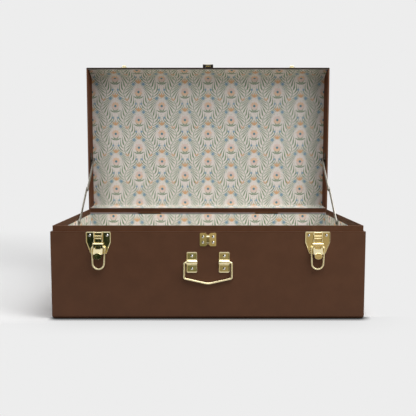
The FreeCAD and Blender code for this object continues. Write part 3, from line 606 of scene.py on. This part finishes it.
@once
def metal(name):
    """Plated metal with smudges and hairlines; dulled a little where it is handled; painted shade on the
    catch's staple and the hasp's inner side, and a painted reflection on one side of each rivet's head.
    """
    fitting = bpy.context.scene.trunk_fitting
    kind = "brass" if name in ("catch_brass", "hasp_brass", "hasp_shade") else name
    tint, dull, grain = {
        "brass": (fitting.brass, fitting.brass_dull, 0.05),
        "wire_brass": (fitting.brass, fitting.brass_dull * 2.4, 0.05),
        "hinge_brass": (fitting.old_brass_in_shade, fitting.brass_dull * 1.9, 0.12),
        "rivet_nickel": (fitting.nickel, fitting.brass_dull, 0.04),
        "stay_steel": (fitting.steel, fitting.steel_dull, 0.22),
        "dark_steel": (fitting.dark_steel, fitting.steel_dull * 1.5, 0.22),
    }[kind]
    made, w, shader, place = finish(name)
    marks = w.use(handled_metal(), {"Vector": place})
    base = w.mix(marks["Smudge"], tint, darker(tint, 0.86))
    if name == "catch_brass":
        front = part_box("front_panel")[0].y
        # Painted shade on the catch's staple, so it does not mirror the lamp.
        staple = w.fade(w.split(place)[1], *(front - out for out in STAPLE_SHADE))
        base = w.mix(staple, base, darker(tint, 0.45))
    # Painted shade on the hasp's inner side, which faces the front with the lid open; the flap takes a
    # little less.
    if name.startswith("hasp"):
        inner = w.fade(w.facing(FRONT), 0.35, 0.75, 0.0, 0.9 if name == "hasp_brass" else 1.0)
        base = w.mix(inner, base, fitting.painted_shade_and_reflection)
    # Painted reflection: one side of each rivet's head is darkened.
    if name == "rivet_nickel":
        base = w.mix(w.fade(w.facing(RIVET_PAINTED_REFLECTION), 0.8, 0.9), base, fitting.painted_shade_and_reflection)
    w.fill(shader, {"Base Color": base, "Metallic": 1.0,
                    "Roughness": w.tuned(marks["Smudge"], dull * 0.7, dull * 0.75)})
    emboss(w, shader, grain, 0.02, marks["Hairline"])
    return made


def built(name, form, material):
    """A new piece from a bmesh, smooth but for its sharp edges."""
    bmesh.ops.recalc_face_normals(form, faces=form.faces)
    mesh = bpy.data.meshes.new(name)
    form.to_mesh(mesh)
    form.free()
    mesh.shade_smooth()
    mesh.set_sharp_from_angle(angle=SHARP)
    mesh.materials.append(material)
    piece = bpy.data.objects.new(name, mesh)
    bpy.context.collection.objects.link(piece)
    return piece


def stand_in(piece, slot, *nodes):
    """The piece takes the place of these nodes: it rides on their body."""
    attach(piece, frame["nodes"][nodes[0]]["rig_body"])
    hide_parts(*nodes)


def dress(node, material):
    """A node whose shape is right keeps it and takes the finish."""
    for place in frame["nodes"][node].material_slots:
        place.material = material


def welded(node):
    """The node's faces as a bmesh, its seams closed and its flats made whole."""
    source = frame["nodes"][node].data
    form = bmesh.new()
    corners = [form.verts.new(v.co) for v in source.vertices]
    for face in source.polygons:
        form.faces.new([corners[i] for i in face.vertices])
    bmesh.ops.remove_doubles(form, verts=form.verts, dist=0.002 * MM)
    bmesh.ops.dissolve_limit(form, angle_limit=math.radians(0.3), verts=form.verts, edges=form.edges)
    return form


def eased(node, slot, material, ease, press=None):
    """The node's shape with its sharp edges rounded over, as stamping or wrapping leaves them."""
    form = welded(node)
    if press:
        press(form)
    piece = built(node + "_eased", form, material)
    rounding = piece.modifiers.new("ease", "BEVEL")
    rounding.width = ease
    rounding.segments = EASE_STEPS
    rounding.limit_method = "ANGLE"
    rounding.angle_limit = SHARP
    rounding.harden_normals = True
    stand_in(piece, slot, node)


def papered(node, spot):
    """The node in printed paper; spot tells where on the sheet a point lies."""
    form = welded(node)
    layer = form.loops.layers.uv.new(PRINT_MAP)
    for face in form.faces:
        for loop in face.loops:
            loop[layer].uv = spot(loop.vert.co)
    stand_in(built(node + "_paper", form, lining_print()), "lining_print", node)


def corner_box(*nodes):
    """Lowest and highest corner of these nodes together."""
    boxes = [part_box(n) for n in nodes]
    return (tuple(min(b[0][i] for b in boxes) for i in range(3)),
            tuple(max(b[1][i] for b in boxes) for i in range(3)))


def rounded_ring(corners, radius):
    """Points round a flat shape whose corners are rounded."""
    ring = []
    for i, here in enumerate(map(Vector, corners)):
        before = (Vector(corners[i - 1]) - here).normalized()
        after = (Vector(corners[i + 1 - len(corners)]) - here).normalized()
        half = before.angle(after) / 2
        run = radius / math.tan(half)
        middle = here + (before + after).normalized() * (radius / math.sin(half))
        first = here + before * run - middle
        last = here + after * run - middle
        turn = first.angle_signed(last)
        for step in range(CORNER_STEPS + 1):
            ring.append(middle + Matrix.Rotation(-turn * step / CORNER_STEPS, 2) @ first)
    return ring


def bent(corners, radii):
    """Points along an open wire whose corners are bent to these radii."""
    path = [Vector(corners[0])]
    for before, here, after, radius in zip(corners, corners[1:], corners[2:], radii):
        here = Vector(here)
        back, on = (Vector(before) - here).normalized(), (Vector(after) - here).normalized()
        half = back.angle(on) / 2
        run = radius / math.tan(half)
        for step in range(BEND_STEPS + 1):
            gone = step / BEND_STEPS
            path.append(here + back * run * (1 - gone) ** 2 + on * run * gone ** 2)
    path.append(Vector(corners[-1]))
    return path


def inset_ring(ring, depth):
    """The ring moved in by depth; it runs clockwise."""
    moved = []
    for i, here in enumerate(ring):
        a = (here - ring[i - 1]).normalized()
        b = (ring[i + 1 - len(ring)] - here).normalized()
        across = Vector((a.y + b.y, -a.x - b.x)).normalized()
        moved.append(here + across * (depth / max(0.5, across.dot(Vector((a.y, -a.x))))))
    return moved


def skinned(form, stations):
    """Skins a row of loops; each loop is a list of points."""
    loops = [[form.verts.new(p) for p in loop] for loop in stations]
    for under, over in zip(loops, loops[1:]):
        for i in range(len(under)):
            form.faces.new((under[i - 1], under[i], over[i], over[i - 1]))
    return loops


def pressed(form, ring, front, profile):
    """A stamped plate on the front face: rings of the outline, moved in and out as the profile says."""
    loops = skinned(form, [[(p.x, front - rise, p.y) for p in inset_ring(ring, inset)]
                           for inset, rise in profile])
    form.faces.new(loops[-1])


# How wide the bead along a plate's edge is.
BEAD_WIDTH = 1.7 * MM


def bead_profile(thick, bead, width):
    """Foot, wall, rolled bead and the flat inside it, as (inset, rise)."""
    wall = ((0.0, 0.0), (0.0, thick * 0.6), (width * 0.06, thick * 0.9))
    crown = ((0.2, 0.7), (0.4, 1.0), (0.6, 0.9), (0.82, 0.3), (1.0, 0.0), (1.3, 0.0))
    return (*wall, *((width * inset, thick + bead * rise) for inset, rise in crown))


def swept(form, stations):
    """A skinned row of loops with both its ends closed."""
    loops = skinned(form, stations)
    form.faces.new(loops[0])
    form.faces.new(loops[-1])


class TRUNK_OT_cover_body(Operator):
    """Covers the body's five boards with brown pebbled paper"""

    bl_idname = "trunk.cover_body"
    bl_label = "Cover the body"

    def execute(self, context):
        boards = ("base_panel", "front_panel", "back_panel", "left_panel", "right_panel")
        cover = leatherette(*corner_box(*boards), False)
        for node in boards:
            dress(node, cover)
        return {"FINISHED"}


class TRUNK_OT_line_body(Operator):
    """Papers the lips, and the inside of the body with the print"""

    bl_idname = "trunk.line_body"
    bl_label = "Line the body"

    def execute(self, context):
        # Painted light and shade: the rear edge takes the shade brown, and the front and side lips take
        # separate tones of one paper.
        lips = {"liner_front": "lip", "liner_back": "seam", "liner_left": "side_lip",
                "liner_right": "side_lip"}
        for node, part in lips.items():
            dress(node, brown_board(*corner_box(*lips), part))
        faces = {"base": (0, 1), "front": (0, 2), "back": (0, 2), "left": (1, 2), "right": (1, 2)}
        for side, (across, up) in faces.items():
            papered("lining_" + side, lambda point: (point[across], point[up]))
        return {"FINISHED"}


class TRUNK_OT_cover_lid(Operator):
    """Covers the domed lid and papers its rail and end boards"""

    bl_idname = "trunk.cover_lid"
    bl_label = "Cover the lid"

    def execute(self, context):
        outside = ("lid_shell", "lid_end_left", "lid_end_right")
        box = corner_box(*outside)
        for node in outside:
            dress(node, leatherette(*box, True))
        dress("lid_hinge_rail", brown_board(*box, "rim"))
        for node in ("lid_rib_left", "lid_rib_right"):
            dress(node, bare_wood())
        return {"FINISHED"}


class TRUNK_OT_line_lid(Operator):
    """Lines the dome with the print, which runs on over both shoulders"""

    bl_idname = "trunk.line_lid"
    bl_label = "Line the lid"

    def execute(self, context):
        path = self.path(*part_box("lid_lining"))
        papered("lid_lining", lambda point: (point.x, self.along(path, point)))
        return {"FINISHED"}

    def path(self, low, high):
        """The lining's section from its upper edge, over the crown, to its lower edge."""
        shoulder, drop, foot, rise = mm(9.5, 12.5, 10.0, 2.6)
        return [Vector(p) for p in (
            (low.y, high.z), (low.y + shoulder, high.z), (high.y, high.z - drop),
            (high.y, low.z + rise), (low.y + foot, low.z), (low.y, low.z))]

    def along(self, path, point):
        """How far along the section a point lies."""
        here = Vector((point.y, point.z))
        best, gone = None, 0.0
        for a, b in zip(path, path[1:]):
            run = b - a
            share = min(1.0, max(0.0, (here - a).dot(run) / run.length_squared))
            gap = (here - a - run * share).length
            if best is None or gap < best[0]:
                best = (gap, gone + share * run.length)
            gone += run.length
        return -best[1]


class TRUNK_OT_fit_latches(Operator):
    """Fits both draw latches: beaded plates with a ribbed bridge, levers, loops and keepers"""

    bl_idname = "trunk.fit_latches"
    bl_label = "Fit the draw latches"

    def execute(self, context):
        fitting = context.scene.trunk_fitting
        brass = metal("brass")
        for side in SIDES:
            self.plate(side, fitting.bead, brass)
            eased("latch_lever_" + side, "brass", brass, fitting.ease * 1.6, press=self.shorten)
            dress("latch_loop_" + side, metal("wire_brass"))
            eased("keeper_" + side, "brass", brass, fitting.ease)
        dress("latch_pins", brass)
        return {"FINISHED"}

    def shorten(self, form):
        """The lever's tab is all but flat, and ends a little higher below the loop's seats."""
        top = max(vertex.co.z for vertex in form.verts)
        face = min(vertex.co.y for vertex in form.verts)
        x = sum(vertex.co.x for vertex in form.verts) / len(form.verts)
        seat, tab = top - 8.2 * MM, Vector((x, top - 23.6 * MM))
        (radius, depth), left, shorter = mm(5.2, 0.9), 0.15, 0.78
        for vertex in form.verts:
            if (vertex.co.xz - tab).length < radius and vertex.co.y < face + depth:
                vertex.co.y = face + (vertex.co.y - face) * left
        for vertex in form.verts:
            if vertex.co.z < seat:
                vertex.co.z = seat + (vertex.co.z - seat) * shorter

    def plate(self, side, bead, brass):
        node = "latch_plate_" + side
        low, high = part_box(node)
        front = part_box("front_panel")[0].y
        x = (low.x + high.x) / 2
        top = high.z
        wide = (high.x - low.x) / 2
        foot = wide * 0.647
        straight = top - 17.5 * MM
        thick, corner = mm(1.0, 2.4)
        form = bmesh.new()
        ring = rounded_ring([
            (x - wide, top), (x + wide, top), (x + wide, straight), (x + foot, low.z), (x - foot, low.z),
            (x - wide, straight)], corner)
        pressed(form, ring, front, bead_profile(thick, bead, BEAD_WIDTH))
        self.bridge(form, x, top, front - thick)
        self.ears(form, x, top, front)
        stand_in(built(node + "_pressed", form, brass), "brass", node)

    def bridge(self, form, x, top, face):
        """A ladder pressed out of the plate: two rails, crossed by three rounded ribs."""
        half, length, rise, rib, tall, rail, end = mm(7.2, 17.2, 0.4, 1.2, 3.2, 1.7, 0.3)
        ribs, low, count = mm(1.3, 7.0, 10.8), 0.93, 86
        section = [(0.0, 0.0)]
        for i in range(count + 1):
            drop = length * i / count
            lift = rise
            for middle in ribs:
                off = abs(drop - middle) / rib
                if off < 1:
                    lift = max(lift, rise + tall * math.sqrt(1 - off * off))
            section.append((drop, lift))
        section.append((length, 0.0))
        inner = half - rail
        swept(form, [[(x + at, face - lift, top - drop) for drop, lift in section]
                     for at in (-inner, inner)])
        crest = rise + tall
        outer, mid, inside, near = mm(0.6, 0.18, 0.4, 0.1)
        rounding = ((0.0, 0.0), (0.0, crest - outer), (mid, crest - mid), (outer, crest),
                    (rail - inside, crest), (rail - near, crest - near), (rail, crest - inside), (rail, 0.0))
        for way in (-1, 1):
            swept(form, [[(x + way * (half - off), face - lift * grow, top - drop)
                          for off, lift in rounding]
                         for drop, grow in ((0.0, low), (end, 1.0), (length - end, 1.0), (length, low))])

    def ears(self, form, x, top, front):
        """Two cheeks that carry the lever's pin."""
        drop, pin_out, radius, inner, thick = mm(20.4, 4.0, 2.5, 7.7, 0.7)
        pin_z, steps = top - drop, 12
        outline = [(0.0, -radius), (0.0, radius)]
        for step in range(steps + 1):
            angle = math.pi / 2 - math.pi * step / steps
            outline.append((pin_out + radius * math.cos(angle), radius * math.sin(angle)))
        for way in (-1, 1):
            swept(form, [[(x + way * (inner + off), front - out, pin_z + up) for out, up in outline]
                         for off in (0.0, thick)])


class TRUNK_OT_fit_catch(Operator):
    """Fits the butterfly catch, and the hasp that folds over it"""

    bl_idname = "trunk.fit_catch"
    bl_label = "Fit the catch and hasp"

    def execute(self, context):
        fitting = context.scene.trunk_fitting
        eased("catch_plate", "brass", metal("catch_brass"), fitting.ease, press=self.ridge)
        eased("hasp_plate", "brass", metal("hasp_shade"), fitting.ease, press=self.web)
        eased("hasp_flap", "brass", metal("hasp_brass"), fitting.ease)
        dress("hasp_pin", metal("hasp_shade"))
        return {"FINISHED"}

    def web(self, form):
        """A low web between the plate's knuckles closes the gap under the flap's barrel."""
        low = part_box("hasp_plate")[0]
        wide, deep, tall, behind = mm(9.2, 2.2, 1.9, 0.2)
        bmesh.ops.create_cube(form, size=1.0, matrix=Matrix.LocRotScale(
            (0.0, low.y + behind + deep / 2, low.z + tall / 2), None, (wide, deep, tall)))

    def ridge(self, form):
        """Both leaves of the catch rise to its middle."""
        everything = form.verts[:] + form.edges[:] + form.faces[:]
        bmesh.ops.bisect_plane(form, geom=everything, plane_co=(0, 0, 0), plane_no=(1, 0, 0))
        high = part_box("catch_plate")[1]
        foot, rise = mm(0.5, 0.4)
        for vertex in form.verts:
            if vertex.co.y < high.y - foot:
                vertex.co.y -= rise * (1 - abs(vertex.co.x) / high.x)


class TRUNK_OT_fit_handle(Operator):
    """Fits the wire bail and its two riveted clips"""

    bl_idname = "trunk.fit_handle"
    bl_label = "Fit the carrying handle"

    def execute(self, context):
        fitting = context.scene.trunk_fitting
        brass = metal("brass")
        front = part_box("front_panel")[0].y
        thick, corner = mm(1.0, 2.5)
        for side in SIDES:
            node = "handle_clip_" + side
            low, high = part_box(node)
            form = bmesh.new()
            ring = rounded_ring(
                [(low.x, high.z), (high.x, high.z), (high.x, low.z), (low.x, low.z)], corner)
            pressed(form, ring, front, bead_profile(thick, fitting.bead, BEAD_WIDTH))
            self.saddle(form, low, high, front - thick)
            stand_in(built(node + "_pressed", form, brass), "brass", node)
        self.bail(brass)
        return {"FINISHED"}

    def bail(self, brass):
        """One bent wire: ends in the clips, straight legs, and a grip that sags to its middle."""
        low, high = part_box("handle_bail")
        radius, sides = 1.6 * MM, 16
        y, top, wide = (low.y + high.y) / 2, high.z - radius, high.x - radius
        knee, end, sag = top - 25.8 * MM, wide - 11.0 * MM, low.z + radius - 0.5 * MM
        elbow, bend, middle = mm(3.2, 2.6, 24)
        path = bent([(-end, top), (-wide, top), (-wide, knee), (0.0, sag), (wide, knee), (wide, top),
                     (end, top)], [elbow, bend, middle, bend, elbow])
        turns = [2 * math.pi * step / sides for step in range(sides)]
        circle = [(radius * math.cos(angle), radius * math.sin(angle)) for angle in turns]
        rings = []
        for i, here in enumerate(path):
            along = (path[min(i + 1, len(path) - 1)] - path[max(i - 1, 0)]).normalized()
            rings.append([(here.x - along.y * aside, y + out, here.y + along.x * aside)
                          for aside, out in circle])
        form = bmesh.new()
        swept(form, rings)
        stand_in(built("handle_bail_wire", form, brass), "brass", "handle_bail")

    def saddle(self, form, low, high, face):
        """The half-round that holds the wire, with flared feet and rounded mouths."""
        radius, foot, flare, least = mm(3.9, 0.7, 0.15, 0.35)
        mouth, steps = ((0.0, 0.9), (0.12 * MM, 0.96), (0.45 * MM, 1.0)), 24
        z = (low.z + high.z) / 2
        section = [(0.0, -radius - foot), (flare, -radius - foot * 0.45)]
        for step in range(steps + 1):
            angle = -math.pi / 2 + math.pi * step / steps
            section.append((max(radius * math.cos(angle), least), radius * math.sin(angle)))
        section += [(flare, radius + foot * 0.45), (0.0, radius + foot)]
        stations = [(low.x + inset, grow) for inset, grow in mouth]
        stations += [(low.x + high.x - x, grow) for x, grow in reversed(stations)]
        swept(form, [[(x, face - out * grow, z + up * grow) for out, up in section]
                     for x, grow in stations])


class TRUNK_OT_fit_hinges(Operator):
    """Fits the two knuckle hinges on the back, with their screws"""

    bl_idname = "trunk.fit_hinges"
    bl_label = "Fit the hinges"

    def execute(self, context):
        fitting = context.scene.trunk_fitting
        brass = metal("hinge_brass")
        for leaf in ("body", "lid"):
            for side in SIDES:
                eased(f"hinge_{leaf}_leaf_{side}", "hinge_brass", brass, fitting.ease * 0.6)
            dress(f"hinge_{leaf}_screws", brass)
        dress("hinge_pins", brass)
        return {"FINISHED"}


class TRUNK_OT_fit_stays(Operator):
    """Fits the folding stays between the body and the lid"""

    bl_idname = "trunk.fit_stays"
    bl_label = "Fit the stays"

    def execute(self, context):
        fitting = context.scene.trunk_fitting
        ease, satin, dark = fitting.ease * 0.7, metal("stay_steel"), metal("dark_steel")
        for side in SIDES:
            for part in ("body_bracket", "lid_bracket", "lower_link", "upper_link", "knee_rivet"):
                # Painted shade: the lid brackets take the darkened steel.
                steel = dark if part == "lid_bracket" else satin
                eased(f"stay_{part}_{side}", "stay_steel", steel, ease)
        eased("stay_screws", "stay_steel", dark, ease)
        return {"FINISHED"}


class TRUNK_OT_set_rivets(Operator):
    """Sets the domed nickel rivets of the front and the lid"""

    bl_idname = "trunk.set_rivets"
    bl_label = "Set the rivets"

    def execute(self, context):
        for node in ("front_rivets", "lid_rivets"):
            dress(node, metal("rivet_nickel"))
        return {"FINISHED"}


# Lamps: the setting that holds the power, width and place in metres.
LAMPS = (("key", 1.0, (1.5, -0.9, 1.5)), ("top", 1.3, (0.2, -0.4, 1.75)), ("fill", 1.6, (-1.2, -1.7, 0.9)))
# The painted contact shade, from ambient occlusion, where the trunk meets the floor: how far it reaches and
# how deep it is.
CONTACT = ((0.014, 2.8), (0.09, 0.25))
# Bands of x or y, from and to: where the front and the left end stand, and where the floor goes plain.
UNDER_FRONT, PAST_LEFT, AHEAD = (-0.132, -0.142), (-0.25, -0.26), (-0.15, -0.18)
PLAIN_RIGHT, PLAIN_LEFT, PLAIN_BACK = (0.252, 0.29), (-0.32, -0.95), (0.3, 1.0)
FLOOR_RADIUS, FLOOR_DROP = 9.0, 0.2 * MM
# What the lamps point at.
AIM = (0.0, 0.0, 0.15)
# Half width, and section in y and z, of the card that the metal mirrors.
FLAG_HALF = 0.55
FLAG_SECTION = ((-0.42, 0.0005), (-0.75, 0.02), (-0.92, 0.12), (-0.98, 0.3))


class TRUNK_OT_set_stage(Operator):
    """Sets the pale floor, the soft lamps and the camera"""

    bl_idname = "trunk.set_stage"
    bl_label = "Set the stage"

    def execute(self, context):
        stage = context.scene.trunk_stage
        context.scene.view_settings.view_transform = "Standard"
        self.camera(context, stage)
        self.floor(stage)
        self.world(context, stage)
        for name, size, place in LAMPS:
            self.lamp(name + "_lamp", getattr(stage, name), size, place)
        self.flag(stage)
        return {"FINISHED"}

    def camera(self, context, stage):
        camera = bpy.data.objects.new("camera", bpy.data.cameras.new("camera"))
        camera.data.lens = stage.lens
        camera.data.sensor_width = 36.0
        camera.location = (0.0, -stage.camera_back, stage.camera_height)
        camera.rotation_euler = (math.pi / 2 - stage.camera_tilt, 0.0, 0.0)
        context.collection.objects.link(camera)
        context.scene.camera = camera

    def rays(self, w):
        """One where the floor or the sky is looked at or mirrored, and not where it lights."""
        path = w.node("LightPath").outputs
        return w.greatest([path[f"Is {kind} Ray"] for kind in ("Camera", "Glossy", "Transmission")])

    def floor(self, stage):
        """Throws back little light, keeps the lamps' shadows near the trunk, paints an occlusion shade in
        front of it and is plain elsewhere.
        """
        material, w, shader, place = finish("floor")
        seen = self.rays(w)
        dim = darker(stage.backdrop, stage.bounce)
        w.fill(shader, {"Base Color": w.mix(seen, dim, stage.backdrop), "Roughness": 0.9,
                        "Specular IOR Level": 0.0})
        x, y, _ = w.split(place)
        # Painted shade: ambient occlusion darkens the floor's glow in front of the trunk.
        close = [w.math("POWER", w.node("AmbientOcclusion", {"Distance": reach}, samples=16).outputs["AO"],
                        depth) for reach, depth in CONTACT]
        front, beside = w.fade(y, *UNDER_FRONT), w.fade(x, *PAST_LEFT)
        shade = w.less(1.0, w.times(front, w.less(1.0, w.times(*close))))
        ahead = w.math("ADD", w.times(w.fade(y, *AHEAD), beside), w.times(front, w.less(1.0, beside)))
        plain = w.greatest([w.fade(x, *PLAIN_RIGHT), w.fade(x, *PLAIN_LEFT), ahead, w.fade(y, *PLAIN_BACK)])
        glow = w.node("Emission", {"Color": stage.backdrop, "Strength": shade})
        both = w.node("MixShader", {0: w.times(plain, seen), 1: shader.outputs[0], 2: glow.outputs[0]})
        w.feed(material.node_tree.nodes["Material Output"].inputs["Surface"], both.outputs[0])
        form = bmesh.new()
        bmesh.ops.create_circle(form, cap_ends=True, segments=96, radius=FLOOR_RADIUS)
        for vertex in form.verts:
            vertex.co.z = cad_box[0].z - FLOOR_DROP
        built("floor", form, material)

    def world(self, context, stage):
        world = bpy.data.worlds.new("studio")
        context.scene.world = world
        world.use_nodes = True
        w = Wiring(world.node_tree)
        seen = w.node("Background", {"Color": stage.backdrop, "Strength": 1.0})
        light = w.node("Background", {"Color": (1.0, 1.0, 1.0), "Strength": stage.sky})
        both = w.node("MixShader", {0: self.rays(w), 1: light.outputs[0], 2: seen.outputs[0]})
        w.feed(world.node_tree.nodes["World Output"].inputs["Surface"], both.outputs[0])

    def lamp(self, name, watts, size, place):
        light = bpy.data.lights.new(name, "AREA")
        light.shape = "SQUARE"
        light.energy = watts
        light.size = size
        lamp = bpy.data.objects.new(name, light)
        lamp.location = place
        lamp.rotation_euler = (Vector(AIM) - Vector(place)).to_track_quat("-Z", "Y").to_euler()
        bpy.context.collection.objects.link(lamp)

    def flag(self, stage):
        """A card round the front that only mirrors see: dark at the left, tan at the right."""
        material, w, _, place = finish("flag")
        x, _, z = w.split(place)
        patch = w.tuned(w.fade(w.noise(place, 9.0, 1.0), 0.35, 0.65), 0.4, 0.6)
        tint = w.mix(w.fade(x, -0.3, -0.14), stage.card_left, stage.card_middle)
        tint = w.mix(w.times(w.fade(x, -0.1, 0.14), patch), tint, stage.card_right)
        warm = w.times(w.fade(w.size(x), 0.2, 0.1), w.fade(z, 0.025, 0.05, 0.0, 0.7))
        tint = w.mix(warm, tint, stage.card_right)
        glow = w.node("Emission", {"Color": tint, "Strength": 1.0})
        w.feed(material.node_tree.nodes["Material Output"].inputs["Surface"], glow.outputs[0])
        form = bmesh.new()
        rows = [[form.verts.new((x, y, z)) for x in (-FLAG_HALF, FLAG_HALF)] for y, z in FLAG_SECTION]
        for under, over in zip(rows, rows[1:]):
            form.faces.new((*under, *reversed(over)))
        flag = built("flag", form, material)
        for ray in ("camera", "diffuse", "shadow", "transmission", "volume_scatter"):
            setattr(flag, "visible_" + ray, False)


STEPS = (
    TRUNK_OT_set_stage, TRUNK_OT_cover_body, TRUNK_OT_line_body, TRUNK_OT_cover_lid, TRUNK_OT_line_lid,
    TRUNK_OT_fit_latches, TRUNK_OT_fit_catch, TRUNK_OT_fit_handle, TRUNK_OT_fit_hinges,
    TRUNK_OT_fit_stays, TRUNK_OT_set_rivets,
)
SETTINGS = {
    "trunk_cover": CoverSettings, "trunk_lining": LiningSettings, "trunk_fitting": FittingSettings,
    "trunk_stage": StageSettings,
}


class TRUNK_PT_dress(Panel):
    """The steps that dress the trunk, in order, and what they use"""

    bl_label = "Dome top trunk"
    bl_space_type = "VIEW_3D"
    bl_region_type = "UI"
    bl_category = "Trunk"

    def draw(self, context):
        for name in SETTINGS:
            box = self.layout.box()
            group = getattr(context.scene, name)
            for key in group.bl_rna.properties.keys():
                if key not in ("rna_type", "name"):
                    box.prop(group, key)
        for step in STEPS:
            self.layout.operator(step.bl_idname)


CLASSES = (*SETTINGS.values(), *STEPS, TRUNK_PT_dress)


def register():
    for cls in CLASSES:
        bpy.utils.register_class(cls)
    for name, group in SETTINGS.items():
        setattr(bpy.types.Scene, name, PointerProperty(type=group))


def unregister():
    for name in SETTINGS:
        delattr(bpy.types.Scene, name)
    for cls in reversed(CLASSES):
        bpy.utils.unregister_class(cls)


def main():
    register()
    for step in STEPS:
        area, name = step.bl_idname.split(".")
        getattr(getattr(bpy.ops, area), name)()


if __name__ == "__main__":
    main()
